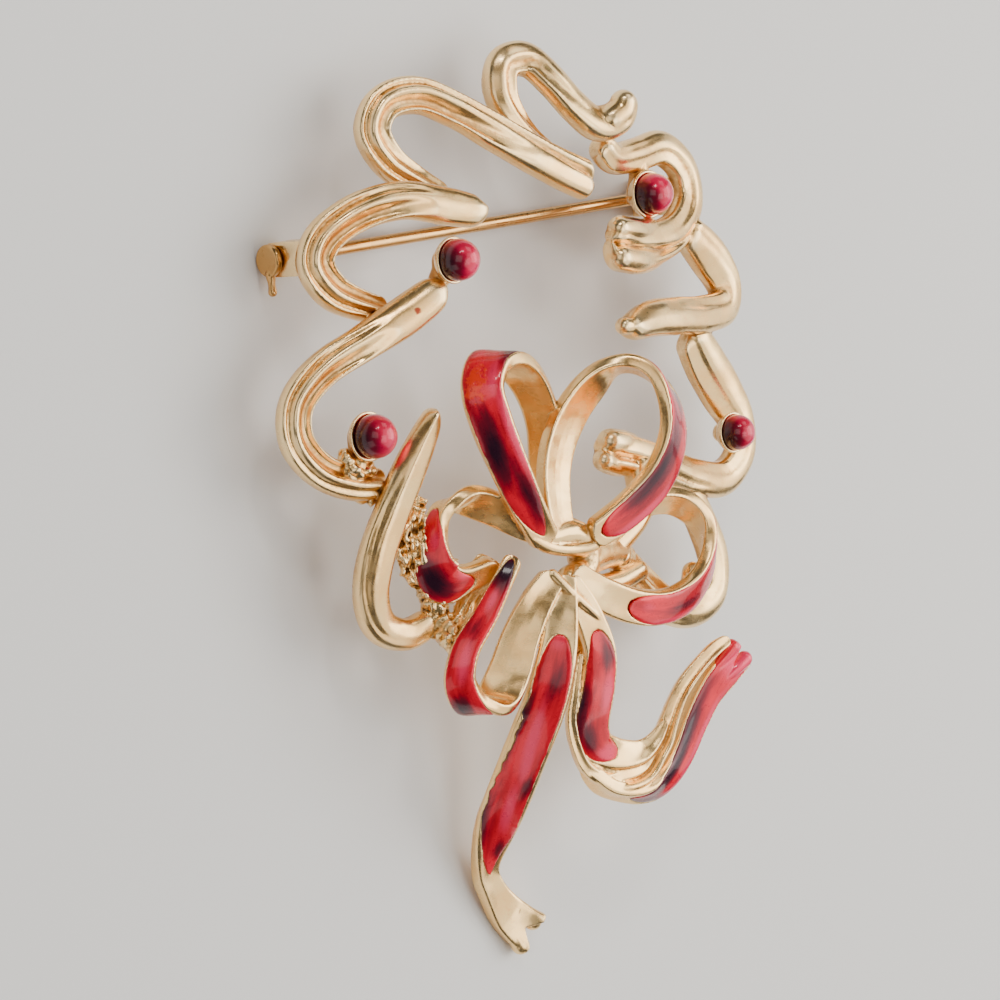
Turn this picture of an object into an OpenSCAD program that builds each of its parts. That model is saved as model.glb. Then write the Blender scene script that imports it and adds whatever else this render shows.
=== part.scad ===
// Wreath brooch: a cast garland of nine ribbon curls, a raised ribbon bow with red enamel,
// four enamelled berries, and a pin on the back. It lies face up, on its pin fittings and long tail.
// Lengths are in millimetres. +X is to the right, +Y up the brooch and +Z out of its face.

/* [Setting out] */
// Height of the garland's middle plane above the surface the brooch lies on
lift = 4.5; // [4.5:0.1:6]
// How far the garland's centre stands right of the outline's centre
centre_x = -1.15; // [-3:0.05:3]
// How far the garland's centre stands above the outline's centre
centre_y = 7.35; // [0:0.05:12]

/* [Garland] */
// Thickness of the curls from their ridges to their back
curl_t = 1.8; // [1.4:0.1:2.2]
// Rings for each row of a table
steps = 2; // [1:1:2]

/* [Bow] */
// Thickness of the bow's ribbon
ribbon_t = 0.95; // [0.7:0.05:1.2]
// Share of the ribbon's half width where the enamel channel ends
channel_edge = 0.76; // [0.6:0.02:0.85]
// Depth of the enamel channel
channel_d = 0.3; // [0.2:0.05:0.4]
// Clearance between the enamel and its channel
enamel_gap = 0.04; // [0.02:0.01:0.06]
// How far the enamel is crowned above its edges
enamel_crown = 0.12; // [0:0.02:0.3]

/* [Berries] */
// Size of the berries, as a share of the radius that each has in its table
berry_size = 1; // [0.7:0.05:1.05]
// Wall of the cup below a berry
cup_wall = 0.3; // [0.2:0.05:0.5]
// Radius of the neck that joins a cup to its curl
neck_r = 0.75; // [0.5:0.05:0.9]
// Clearance between a berry and its cup
cup_gap = 0.06; // [0.02:0.01:0.1]

/* [Pin] */
// Radius of the pin's wire
wire_r = 0.42; // [0.35:0.01:0.5]
// Length of the pin's wire from its hinge to where the point starts
wire_len = 30; // [25:1:30]
// Length of the tapered point
point_len = 5; // [3:0.5:5]
// How far the pin's middle lies behind the garland's middle plane
pin_back = 3.4; // [3:0.1:3.6]
// Outer radius of the catch and of the hinge's ears
ear_r = 1.1; // [1:0.05:1.3]
// Radius of the two trunnions that the pin's knuckle turns on
trunnion_r = 0.35; // [0.25:0.05:0.5]
// Running clearance of the trunnions, the knuckle and the catch's lever
run_gap = 0.05; // [0.03:0.01:0.1]

/* [Hidden] */
// A row is one section: x, y, z of its middle, its width, then the direction that its face looks in.
CURL_TOP = [
  [ 7.8, 19.7, 2.8, 1.0,   0.5, 0.6, 1.0],
  [ 7.6, 19.0, 2.7, 1.9,   0.5, 0.6, 1.0],
  [ 7.0, 18.1, 2.4, 2.3,   0.4, 0.5, 1.0],
  [ 5.5, 17.7, 1.9, 2.5,   0.3, 0.4, 1.0],
  [ 3.8, 18.8, 1.5, 2.5,   0.3, 0.4, 1.0],
  [ 2.2, 20.4, 1.0, 2.5,   0.2, 0.4, 1.0],
  [ 0.6, 21.7, 0.3, 2.4,   0.1, 0.4, 1.0],
  [-1.2, 21.3, 0.0, 2.3,  -0.4, 0.3, 1.0],
  [-1.5, 19.6, 0.0, 2.3,  -0.4, 0.0, 1.0],
  [-0.8, 18.0, 0.2, 2.1,  -0.2, 0.0, 1.0],
  [ 0.6, 16.4, 0.6, 1.9,   0.0, 0.2, 1.0],
  [ 2.0, 15.1, 1.4, 1.7,   0.0, 0.2, 1.0]
];
CURL_UPPER_LEFT = [
  [  3.8, 13.7,  3.0, 2.9, -0.1, 0.3, 1.0],
  [  1.4, 14.4,  2.8, 2.9, -0.1, 0.4, 1.0],
  [ -1.5, 15.5,  2.4, 2.9, -0.1, 0.5, 1.0],
  [ -4.3, 16.7,  1.9, 2.8, -0.1, 0.5, 1.0],
  [ -7.0, 17.9,  1.3, 2.6, -0.1, 0.5, 1.0],
  [ -9.6, 18.7,  0.6, 2.5, -0.2, 0.4, 1.0],
  [-12.0, 18.1,  0.1, 2.4, -0.4, 0.3, 1.0],
  [-12.9, 16.3, -0.1, 2.4, -0.5, 0.0, 1.0],
  [-11.6, 14.4,  0.0, 2.3, -0.3, 0.0, 1.0],
  [ -9.4, 13.1,  0.4, 2.0,  0.0, 0.0, 1.0],
  [ -7.6, 12.0,  1.2, 1.8,  0.0, 0.0, 1.0]
];
CURL_LEFT = [
  [ -6.1, 11.5, 3.3, 1.3,  0.0, 0.1, 1.0],
  [ -7.0, 11.3, 3.1, 2.1, -0.1, 0.2, 1.0],
  [ -8.8, 11.5, 2.7, 2.5, -0.1, 0.3, 1.0],
  [-12.0, 11.8, 1.9, 2.5, -0.1, 0.3, 1.0],
  [-15.0, 11.0, 1.0, 2.5, -0.3, 0.2, 1.0],
  [-17.2,  9.4, 0.2, 2.5, -0.5, 0.1, 1.0],
  [-17.9,  7.6, 0.0, 2.5, -0.5, 0.0, 1.0],
  [-16.5,  5.9, 0.1, 2.4, -0.3, 0.0, 1.0],
  [-14.3,  5.1, 0.4, 2.0, -0.1, 0.0, 1.0],
  [-12.4,  4.7, 0.7, 1.8,  0.0, 0.0, 1.0]
];
CURL_LOWER_LEFT = [
  [ -9.7,  6.3, 3.0, 1.5, -0.1,  0.1, 1.0],
  [-10.6,  5.8, 3.0, 2.3, -0.2,  0.3, 1.0],
  [-12.7,  4.3, 2.4, 2.6, -0.3,  0.3, 1.0],
  [-15.2,  2.7, 1.6, 2.4, -0.3,  0.3, 1.0],
  [-18.0,  0.9, 0.7, 2.3, -0.3,  0.2, 1.0],
  [-19.6, -1.2, 0.1, 2.3, -0.4,  0.0, 1.0],
  [-19.5, -3.5, 0.0, 2.3, -0.4, -0.1, 1.0],
  [-17.7, -5.3, 0.1, 2.3, -0.3, -0.2, 1.0],
  [-15.2, -6.1, 0.4, 2.3, -0.1, -0.1, 1.0],
  [-12.6, -6.2, 0.8, 2.0,  0.0,  0.0, 1.0]
];
CURL_BOTTOM_LEFT = [
  [-10.9,  -1.4, 3.6, 0.8, -0.3, 0.0, 1.0],
  [-11.2,  -2.6, 3.3, 1.6, -0.4, 0.0, 1.0],
  [-12.1,  -5.0, 2.7, 2.2, -0.4, 0.1, 1.0],
  [-12.9,  -7.7, 1.9, 2.3, -0.5, 0.1, 1.0],
  [-13.5, -10.4, 1.1, 2.4, -0.5, 0.0, 1.0],
  [-13.5, -13.1, 0.4, 2.4, -0.4, 0.0, 1.0],
  [-12.3, -15.2, 0.0, 2.3, -0.3, 0.0, 1.0],
  [-10.1, -15.8, 0.1, 2.1, -0.1, 0.0, 1.0],
  [ -8.0, -14.8, 0.5, 1.8,  0.0, 0.0, 1.0]
];
CURL_BOTTOM_RIGHT = [
  [ 7.9, -11.0, 1.7, 2.2, -0.2,  0.0, 1.0],
  [10.4, -12.8, 1.4, 2.5,  0.0, -0.1, 1.0],
  [13.4, -14.3, 0.9, 2.5,  0.0, -0.2, 1.0],
  [16.6, -14.7, 0.3, 2.4,  0.1, -0.2, 1.0],
  [18.9, -13.6, 0.0, 2.4,  0.2,  0.0, 1.0],
  [19.2, -11.4, 0.0, 2.4,  0.2,  0.0, 1.0],
  [17.9,  -9.0, 0.2, 2.3,  0.1,  0.0, 1.0],
  [15.5,  -6.2, 0.6, 2.0,  0.0,  0.0, 1.0]
];
CURL_LOWER_RIGHT = [
  [ 5.7, -4.0, 2.0, 2.4, -0.3, 0.0, 1.0],
  [ 8.8, -4.2, 1.9, 2.6, -0.1, 0.0, 1.0],
  [12.2, -4.8, 1.5, 2.6,  0.0, 0.1, 1.0],
  [16.2, -5.6, 0.8, 2.5,  0.0, 0.1, 1.0],
  [19.8, -5.7, 0.2, 2.5,  0.1, 0.0, 1.0],
  [21.8, -4.0, 0.0, 2.5,  0.2, 0.0, 1.0],
  [21.6, -1.8, 0.0, 2.8,  0.0, 0.0, 1.0],
  [19.8,  0.2, 0.2, 3.3, -0.2, 0.0, 1.0],
  [17.6,  2.2, 0.6, 3.3, -0.2, 0.0, 1.0],
  [15.6,  4.2, 1.0, 2.6, -0.1, 0.0, 1.0]
];
CURL_RIGHT = [
  [ 7.0,  4.1, 3.2, 1.0, -0.2,  0.2, 1.0],
  [ 8.2,  4.4, 3.0, 2.0, -0.1,  0.3, 1.0],
  [10.2,  4.9, 2.6, 2.5,  0.0,  0.3, 1.0],
  [13.4,  5.2, 2.0, 2.6,  0.0,  0.3, 1.0],
  [16.8,  5.4, 1.2, 2.6,  0.0,  0.2, 1.0],
  [19.6,  6.1, 0.5, 2.6,  0.1,  0.0, 1.0],
  [19.9,  7.8, 0.2, 2.8,  0.0, -0.1, 1.0],
  [17.9,  9.6, 0.5, 3.0, -0.2,  0.0, 1.0],
  [15.2, 11.1, 1.0, 2.4, -0.1,  0.0, 1.0]
];
CURL_UPPER_RIGHT = [
  [ 5.6,  9.9, 3.1, 2.8,  -0.3, 0.0, 1.0],
  [ 6.4,  9.8, 3.0, 3.7,  -0.3, 0.0, 1.0],
  [ 8.4,  9.7, 2.5, 3.6,  -0.1, 0.1, 1.0],
  [11.2, 10.0, 1.9, 3.0,   0.0, 0.1, 1.0],
  [14.2, 11.1, 1.1, 2.6,   0.1, 0.0, 1.0],
  [16.2, 13.1, 0.3, 2.5,   0.2, 0.0, 1.0],
  [15.9, 15.4, 0.0, 2.4,   0.2, 0.1, 1.0],
  [13.8, 16.6, 0.0, 2.4,   0.1, 0.2, 1.0],
  [11.0, 16.0, 0.4, 2.3,  -0.1, 0.1, 1.0],
  [ 8.2, 15.6, 0.9, 2.1,  -0.2, 0.0, 1.0],
  [ 6.4, 16.6, 1.3, 1.8,   0.0, 0.0, 1.0]
];
CURLS = [
  CURL_TOP, CURL_UPPER_LEFT, CURL_LEFT, CURL_LOWER_LEFT, CURL_BOTTOM_LEFT,
  CURL_BOTTOM_RIGHT, CURL_LOWER_RIGHT, CURL_RIGHT, CURL_UPPER_RIGHT
];

// The bow's ribbons have the same columns. Their face is the side with the enamel channel.
LOOP_UPPER_LEFT = [
  [-1.5, -9.9, 4.2, 2.0,  -0.5, 0.1,  0.8],
  [-3.6, -7.6, 4.6, 2.3,  -0.7, 0.1,  0.7],
  [-5.6, -5.0, 4.9, 2.6,  -0.7, 0.1,  0.7],
  [-7.2, -2.4, 5.0, 2.8,  -0.7, 0.1,  0.7],
  [-7.9,  0.0, 4.8, 2.8,  -0.7, 0.3,  0.6],
  [-6.7,  1.7, 4.4, 2.8,  -0.3, 0.9,  0.3],
  [-4.4,  1.6, 4.0, 2.6,   0.4, 0.9, -0.3],
  [-2.1,  0.2, 3.4, 2.4,   0.7, 0.4, -0.6],
  [-0.1, -2.2, 2.6, 2.3,   0.8, 0.1, -0.6],
  [ 0.7, -5.2, 2.1, 2.2,   0.8, 0.0, -0.6],
  [ 0.9, -8.6, 2.6, 2.0,   0.7, 0.0, -0.7]
];
LOOP_UPPER_RIGHT = [
  [ 0.2, -10.0, 4.1, 2.0,  -0.1,  0.0, -1.0],
  [-0.5,  -7.2, 4.0, 2.5,  -0.1,  0.0, -1.0],
  [-0.3,  -4.6, 3.8, 2.8,  -0.1,  0.0, -1.0],
  [ 0.8,  -2.1, 3.8, 2.8,  -0.1,  0.1, -1.0],
  [ 2.7,   0.2, 4.1, 2.8,   0.0,  0.5, -0.9],
  [ 4.7,   1.7, 5.0, 2.8,   0.2,  1.0, -0.1],
  [ 6.1,   1.2, 6.3, 2.8,   0.6,  0.8,  0.5],
  [ 7.0,  -0.8, 7.2, 2.8,   0.5,  0.2,  0.9],
  [ 7.1,  -3.2, 7.4, 2.8,   0.3,  0.0,  1.0],
  [ 6.2,  -5.8, 6.9, 2.7,   0.1, -0.1,  1.0],
  [ 4.3,  -7.9, 6.0, 2.5,   0.0, -0.2,  1.0],
  [ 2.0,  -9.6, 4.9, 2.1,   0.0, -0.2,  1.0]
];
LOOP_SIDE_LEFT = [
  [ 0.8,  -9.8, 4.0, 1.5,  0.1,  0.5, -0.8],
  [-2.4,  -8.9, 3.4, 1.9,  0.1,  0.6, -0.8],
  [-5.0,  -7.7, 2.8, 2.3,  0.0,  0.6, -0.8],
  [-7.2,  -7.2, 2.3, 2.2, -0.4,  0.7, -0.6],
  [-8.8,  -8.0, 1.9, 1.5, -0.9,  0.5,  0.0],
  [-9.2,  -9.7, 1.8, 1.7, -0.9,  0.1,  0.5],
  [-9.3, -11.4, 1.9, 2.9, -0.7, -0.2,  0.7],
  [-8.5, -12.4, 2.1, 3.2, -0.6, -0.3,  0.8],
  [-7.2, -12.3, 2.6, 2.0, -0.5, -0.5,  0.8],
  [-5.3, -11.4, 3.5, 1.4, -0.4, -0.4,  0.8]
];
LOOP_LOWER = [
  [-4.6, -10.9, 4.4, 1.2, -0.6,  0.6,  0.7],
  [-5.4, -12.2, 4.3, 1.35, -0.7,  0.2,  0.7],
  [-6.6, -14.6, 3.8, 1.6, -0.7,  0.1,  0.7],
  [-7.9, -16.8, 3.3, 1.85, -0.7,  0.1,  0.7],
  [-8.0, -18.9, 2.9, 2.1, -0.7, -0.2,  0.7],
  [-6.5, -20.4, 2.6, 2.4, -0.4, -0.9,  0.3],
  [-4.6, -20.2, 2.6, 2.8,  0.3, -0.8, -0.4],
  [-3.5, -18.4, 2.8, 2.8,  0.6, -0.2, -0.7],
  [-2.7, -16.0, 3.1, 2.5,  0.6, -0.1, -0.7],
  [-1.7, -13.7, 3.6, 2.1,  0.5,  0.0, -0.8],
  [-0.5, -12.0, 4.0, 1.7,  0.4,  0.0, -0.9]
];
LOOP_SIDE_RIGHT = [
  [ 0.8, -12.0, 4.2, 2.0,  0.0, -0.2, 1.0],
  [ 3.0, -13.3, 4.8, 2.3,  0.0, -0.3, 1.0],
  [ 5.9, -14.2, 5.2, 2.4,  0.0, -0.3, 1.0],
  [ 8.9, -14.2, 5.3, 2.4,  0.1, -0.3, 1.0],
  [11.6, -13.1, 5.2, 2.5,  0.5, -0.2, 0.9],
  [13.2, -11.0, 5.0, 2.5,  0.7,  0.1, 0.7],
  [13.3,  -8.8, 4.4, 2.5,  0.8,  0.5, 0.2],
  [11.8,  -7.4, 3.8, 2.4,  0.4,  0.9, -0.4],
  [ 9.4,  -7.3, 3.4, 2.3,  0.0,  0.8, -0.7],
  [ 6.6,  -8.4, 3.2, 2.2,  0.0,  0.5, -0.9],
  [ 3.6, -10.4, 3.4, 2.0,  0.0,  0.3, -1.0]
];
TAIL_LONG = [
  [ 0.2, -12.1,   4.1, 1.6,  -0.4,  0.0, 1.0],
  [-0.2, -14.6,   4.4, 2.1,  -0.6,  0.0, 0.8],
  [-0.7, -17.4,   4.4, 2.6,  -0.7,  0.0, 0.7],
  [-1.1, -20.2,   3.8, 2.9,  -0.7,  0.1, 0.7],
  [-1.3, -23.0,   2.5, 3.0,  -0.7,  0.2, 0.7],
  [-1.0, -26.0,   0.6, 3.0,  -0.6,  0.4, 0.7],
  [-0.5, -28.8,  -1.4, 2.8,  -0.4,  0.4, 0.8],
  [ 0.3, -31.5,  -3.1, 2.0,  -0.2,  0.3, 0.9],
  [ 1.2, -33.0,  -3.5, 2.0,  -0.1,  0.1, 1.0],
  [ 2.7, -34.5, -3.75, 2.5,  -0.2, -0.1, 1.0],
  [ 4.0, -35.6, -3.55, 2.9,  -0.3, -0.2, 1.0],
  [ 5.0, -36.2,  -3.2, 3.0,  -0.3, -0.2, 1.0]
];
TAIL_WAVY = [
  [0.4, -12.3, 4.2, 1.5,  -0.4,  0.1, 1.0],
  [1.7, -14.4, 4.6, 2.0,  -0.5,  0.2, 1.0],
  [3.0, -17.0, 4.6, 2.3,  -0.5,  0.1, 1.0],
  [3.3, -19.4, 4.2, 2.4,  -0.5,  0.1, 1.0],
  [3.2, -21.8, 3.7, 2.5,  -0.5,  0.1, 1.0],
  [3.9, -23.2, 3.5, 2.4,  -0.4, -0.2, 0.9],
  [5.3, -23.8, 3.5, 2.2,  -0.4,  0.0, 0.9],
  [6.8, -24.0, 3.6, 1.9,  -0.4,  0.2, 0.9],
  [8.2, -23.8, 3.7, 1.5,  -0.5,  0.3, 0.8],
  [9.2, -23.0, 3.9, 1.0,  -0.5,  0.2, 0.8],
  [9.9, -21.9, 4.1, 0.6,  -0.6,  0.1, 0.8]
];
TAIL_RISING = [
  [ 2.9, -24.2, 3.1, 0.6, -0.7, -0.6, 0.3],
  [ 4.0, -25.3, 3.1, 1.4, -0.5, -0.8, 0.1],
  [ 5.5, -26.2, 3.0, 1.9, -0.2, -1.0, 0.1],
  [ 7.5, -26.6, 3.1, 2.1,  0.0, -0.9, 0.3],
  [ 9.2, -26.5, 3.3, 2.2,  0.1, -0.7, 0.6],
  [10.6, -25.7, 3.5, 2.2,  0.1, -0.4, 0.9],
  [11.8, -24.2, 3.7, 2.2,  0.0, -0.2, 1.0],
  [12.9, -21.9, 4.0, 2.2, -0.1, -0.1, 1.0],
  [13.7, -20.2, 4.4, 2.3, -0.1, -0.1, 1.0],
  [14.7, -18.9, 4.8, 2.5, -0.1, -0.1, 1.0],
  [16.3, -17.4, 5.1, 2.4, -0.1, -0.1, 1.0]
];
TONGUE = [
  [1.4, -12.6, 3.4, 1.4, -0.5, 0.0, 1.0],
  [2.0, -15.6, 3.2, 1.4, -0.5, 0.0, 1.0],
  [2.2, -18.4, 2.9, 1.2, -0.5, 0.0, 1.0],
  [2.2, -20.4, 2.6, 0.7, -0.5, 0.0, 1.0]
];
// The pleated sheet between the left side loop and the lower loop.
PLEAT = [
  [-4.9, -11.2, 3.2, 2.6, -0.7, -0.1, 0.7],
  [-5.7, -12.2, 2.9, 2.6, -0.7, -0.1, 0.7],
  [-6.4, -13.6, 2.4, 2.2, -0.7, -0.1, 0.7],
  [-7.2, -15.1, 2.3, 1.6, -0.7, -0.1, 0.7],
  [-8.0, -16.6, 2.2, 0.8, -0.7, -0.1, 0.7]
];
RIBBONS = [
  LOOP_UPPER_LEFT, LOOP_UPPER_RIGHT, LOOP_SIDE_LEFT, LOOP_LOWER, LOOP_SIDE_RIGHT, TAIL_WAVY, TONGUE, PLEAT
];

// The plain grooved band that runs round the wavy tail's bend and up inside its rising part.
TAIL_EDGE = [
  [ 2.0, -17.2, 3.9,  0.4,  -0.6, 0.1, 0.8],
  [ 1.8, -19.6, 3.6,  0.6,  -0.6, 0.1, 0.8],
  [ 1.9, -22.0, 3.2,  0.7,  -0.6, 0.1, 0.8],
  [ 3.0, -24.5, 3.2,  0.8,  -0.6, 0.1, 0.8],
  [ 5.0, -25.7, 3.3,  1.1,  -0.6, 0.1, 0.8],
  [ 6.9, -25.6, 3.6,  1.7,  -0.6, 0.1, 0.8],
  [ 8.4, -25.1, 3.7,  1.7,  -0.6, 0.1, 0.8],
  [ 9.2, -24.0, 3.9,  1.6,  -0.6, 0.1, 0.8],
  [ 9.8, -23.1, 4.0, 1.55,  -0.6, 0.1, 0.8],
  [10.2, -21.9, 4.2, 1.35,  -0.6, 0.1, 0.8],
  [10.7, -20.4, 4.5,  1.2,  -0.6, 0.1, 0.8],
  [11.5, -19.2, 4.7, 1.15,  -0.6, 0.1, 0.8],
  [12.6, -18.0, 5.0, 1.05,  -0.6, 0.1, 0.8],
  [13.7, -17.1, 5.2,  1.0,  -0.6, 0.1, 0.8],
  [14.7, -16.6, 5.3,  0.8,  -0.6, 0.1, 0.8]
];

// Depth of the notch in each forked tail end, and its width at the end, in shares of the ribbon's width.
NOTCH_LONG = [0.35, 0.5];
NOTCH_RISING = [0.65, 0.4];
NOTCH_GAP = [0.03, 0.1];

// Middle of each berry: x, y, z, then the foot where its cup's neck meets a curl: x, y, z,
// then the height of the cup's rim above the berry's middle, and the berry's radius.
BERRIES = [
  [ -9.8,  8.0, 4.65,  -9.8,  6.8, 3.0, -0.50, 1.36],
  [-14.7, -3.2, 2.1, -15.0, -5.6, 0.8, -0.60, 1.42],
  [ 11.1, 13.3, 1.9,  11.2, 15.4, 0.6, -0.35, 1.40],
  [ 19.0, -2.6, 2.4,  20.8, -2.0, 0.4, -0.35, 1.22]
];

// Lumps of metal that join the bow's ribbons to each other and to the curls: x, y, z, radius.
KNOT = [[0.8, -9.4, 3.7, 0.9], [3.0, -10.4, 3.2, 1.1], [2.8, -11.8, 3.3, 1.0], [1.0, -12.3, 3.8, 0.8]];
KNOT_LIP = [
  [-2.6, -9.7, 4.1, 0.4], [-1.5, -10.2, 4.2, 0.45], [-0.3, -10.4, 4.3, 0.45],
  [1.1, -10.4, 4.4, 0.45], [2.2, -10.2, 4.7, 0.45], [3.2, -9.7, 5.0, 0.4]
];
KNOT_RIM = [[-0.8, -12.0, 4.1, 0.35], [0.1, -13.0, 4.6, 0.35], [1.2, -13.9, 4.9, 0.35], [2.3, -14.7, 5.0, 0.35]];
KNOT_BACK = [[3.4, -11.0, 3.0, 1.2], [6.6, -10.6, 2.2, 1.1], [8.2, -11.0, 1.6, 1.1]];
WEB_LEFT = [[-12.9, -8.4, 1.4, 0.8], [-11.7, -8.8, 0.9, 0.8], [-10.4, -9.5, 0.4, 0.5]];
WEB_LEFT_LOW = [[-9.2, -11.4, 0.9, 0.8], [-8.2, -14.4, 0.8, 0.8], [-7.8, -16.2, 2.0, 0.8]];
POST_RIGHT = [[6.6, -10.4, 2.2, 1.0], [9.2, -8.0, 2.4, 0.9], [9.6, -5.0, 1.9, 1.0]];
POST_LOW_RIGHT = [[12.7, -12.0, 4.0, 0.7], [14.4, -13.4, 2.2, 0.8], [14.6, -14.2, 1.0, 0.9]];
WEBS = [
  KNOT, KNOT_LIP, KNOT_RIM, KNOT_BACK, WEB_LEFT, WEB_LEFT_LOW, POST_RIGHT, POST_LOW_RIGHT
];

// The pin runs straight from the hinge, below the upper right curl, to the catch, below the left curl.
CATCH_AT = [-17.5, 8.1];
HINGE_AT = [16.2, 13.6];
pin_angle = atan2(HINGE_AT[1] - CATCH_AT[1], HINGE_AT[0] - CATCH_AT[0]);
ear_w = 0.7;
knuckle_w = 1.0;
knuckle_r = 0.95;
point_r = 0.08;
catch_len = 1.9;
catch_wall = 0.3;
lever_r = ear_r - catch_wall - run_gap;
head_t = 0.5;
tab_reach = 2.2;
// The fittings run this far into the curls that carry them, and end in a root this high.
fitting_root = 0.6;
fitting_top = pin_back - 0.2 - fitting_root;

// Outline of a curl's section, in shares of its half width and its thickness: two ridges and a groove.
CURL_SECTION = [
  [-1.00,  0.05], [-0.86,  0.38], [-0.52,  0.50], [-0.12,  0.30], [0.12,  0.30], [0.52,  0.50],
  [ 0.86,  0.38], [ 1.00,  0.05], [ 0.84, -0.38], [ 0.40, -0.50], [-0.40, -0.50], [-0.84, -0.38]
];
floor_share = 0.5 - channel_d / ribbon_t;
RIBBON_SECTION = [
  [-1.00, 0.42], [-0.88, 0.50], [-channel_edge, floor_share], [channel_edge, floor_share],
  [ 0.88, 0.50], [ 1.00, 0.42], [ 0.96, -0.50], [-0.96, -0.50]
];
BAND_SECTION = [
  [-1.0, 0.2], [-0.8, 0.5], [0.0, 0.5], [0.25, 0.3], [0.5, 0.5], [0.85, 0.5], [1.0, 0.2], [0.8, -0.5],
  [-0.8, -0.5]
];
gap_share = enamel_gap / ribbon_t;
enamel_edge = channel_edge - 0.03;
ENAMEL_SECTION = [
  [-enamel_edge, floor_share + gap_share], [-enamel_edge, 0.40], [-0.4, 0.40 + enamel_crown / ribbon_t],
  [0.4, 0.40 + enamel_crown / ribbon_t], [enamel_edge, 0.40], [enamel_edge, floor_share + gap_share]
];

function unit(v) = v / norm(v);
function row_at(rows, i) = rows[max(0, min(len(rows) - 1, i))];

// One point of a smooth curve through the rows, worked out for all columns at once.
function between(a, b, c, d, t) =
  0.5 * (2 * b + (c - a) * t + (2 * a - 5 * b + 4 * c - d) * t * t + (3 * b - a - 3 * c + d) * t * t * t);

function smooth(rows) = concat(
  [for (i = [0 : len(rows) - 2], s = [0 : steps - 1])
    between(row_at(rows, i - 1), rows[i], rows[i + 1], row_at(rows, i + 2), s / steps)],
  [rows[len(rows) - 1]]
);

function middle(row) = [row[0], row[1], row[2]];
function facing(row) = [row[4], row[5], row[6]];

// The section's outline, set square to the ribbon's run at ring i, its face turned as the row says.
function ring(rings, i, section, thick) =
  let (
    run = unit(middle(row_at(rings, i + 1)) - middle(row_at(rings, i - 1))),
    face = unit(facing(rings[i]) - (facing(rings[i]) * run) * run),
    across = cross(run, face),
    half = rings[i][3] / 2
  )
  [for (p = section) middle(rings[i]) + across * (p[0] * half) + face * (p[1] * thick)];

// leaning turns each facet's diagonal the other way, so that a piece's underside matches the channel it lies in.
module sweep(rings, section, thick, leaning = false) {
  n = len(section);
  last = len(rings) - 1;
  points = [for (i = [0 : last]) each ring(rings, i, section, thick)];
  sides = [for (i = [0 : last - 1], j = [0 : n - 1])
    let (a = i * n + j, b = i * n + (j + 1) % n)
    each leaning ? [[b, a, b + n], [a, a + n, b + n]] : [[b, a, a + n], [b, a + n, b + n]]];
  start = [[for (j = [0 : n - 1]) j]];
  end = [[for (j = [n - 1 : -1 : 0]) last * n + j]];
  polyhedron(points = points, faces = concat(sides, start, end), convexity = 8);
}

module place() {
  translate([centre_x, centre_y, lift]) children();
}

module blob(row) {
  translate([row[0], row[1], row[2]]) sphere(r = row[3], $fn = 8);
}

module web(rows) {
  for (i = [0 : len(rows) - 2])
    hull() {
      blob(rows[i]);
      blob(rows[i + 1]);
    }
}

// A cup below a berry, open to the front, on a short neck to the curl.
module cup(row) {
  at = middle(row);
  foot = [row[3], row[4], row[5]];
  r = row[7] * berry_size;
  difference() {
    union() {
      translate(at) sphere(r = r + cup_wall, $fn = 12);
      hull() {
        translate(at - [0, 0, r / 2]) sphere(r = neck_r, $fn = 8);
        translate(foot) sphere(r = neck_r, $fn = 8);
      }
    }
    translate(at) sphere(r = r + cup_gap, $fn = 16);
    translate(at + [0, 0, row[6]]) cylinder(r = r + 2 * cup_wall, h = 3 * r, $fn = 12);
  }
}

// Cuts the notch of a forked tail. notch is its depth and width in shares of the ribbon's width at its end.
module forked(rows, notch) {
  last = rows[len(rows) - 1];
  run = unit(middle(last) - middle(rows[len(rows) - 2]));
  face = unit(facing(last) - (facing(last) * run) * run);
  across = cross(run, face);
  at = middle(last);
  w = last[3];
  reach = 1.5 * w;
  slope = notch[1] / notch[0] / 2;
  difference() {
    children();
    multmatrix([
      [run[0], across[0], face[0], at[0]],
      [run[1], across[1], face[1], at[1]],
      [run[2], across[2], face[2], at[2]]
    ])
      translate([-notch[0] * w, 0, -2 * ribbon_t])
        linear_extrude(4 * ribbon_t) polygon([[0, 0], [reach, -slope * reach], [reach, slope * reach]]);
  }
}

// Frame of the pin: its origin at a fitting, +X along the wire towards the hinge.
module at_fitting(at) {
  translate([at[0], at[1], -pin_back]) rotate([0, 0, pin_angle]) children();
}

module hinge_ears() {
  at_fitting(HINGE_AT)
    for (side = [-1, 1])
      translate([0, side * (knuckle_w / 2 + run_gap + ear_w / 2), 0])
        difference() {
          hull() {
            rotate([90, 0, 0]) cylinder(r = ear_r, h = ear_w, center = true, $fn = 16);
            translate([-ear_r, -ear_w / 2, fitting_top]) cube([2 * ear_r, ear_w, fitting_root]);
          }
          rotate([90, 0, 0]) cylinder(r = trunnion_r + run_gap, h = 2 * ear_w, center = true, $fn = 16);
        }
}

module catch_hook() {
  slot_w = 2 * wire_r + 0.3;
  at_fitting(CATCH_AT)
    difference() {
      hull() {
        rotate([0, 90, 0]) cylinder(r = ear_r, h = catch_len, center = true, $fn = 16);
        translate([-catch_len / 2, -ear_r, fitting_top]) cube([catch_len, 2 * ear_r, fitting_root]);
      }
      rotate([0, 90, 0]) cylinder(r = ear_r - catch_wall, h = 2 * catch_len, center = true, $fn = 16);
      translate([-catch_len, -slot_w / 2, -2 * ear_r]) cube([2 * catch_len, slot_w, 2 * ear_r]);
    }
}

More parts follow.
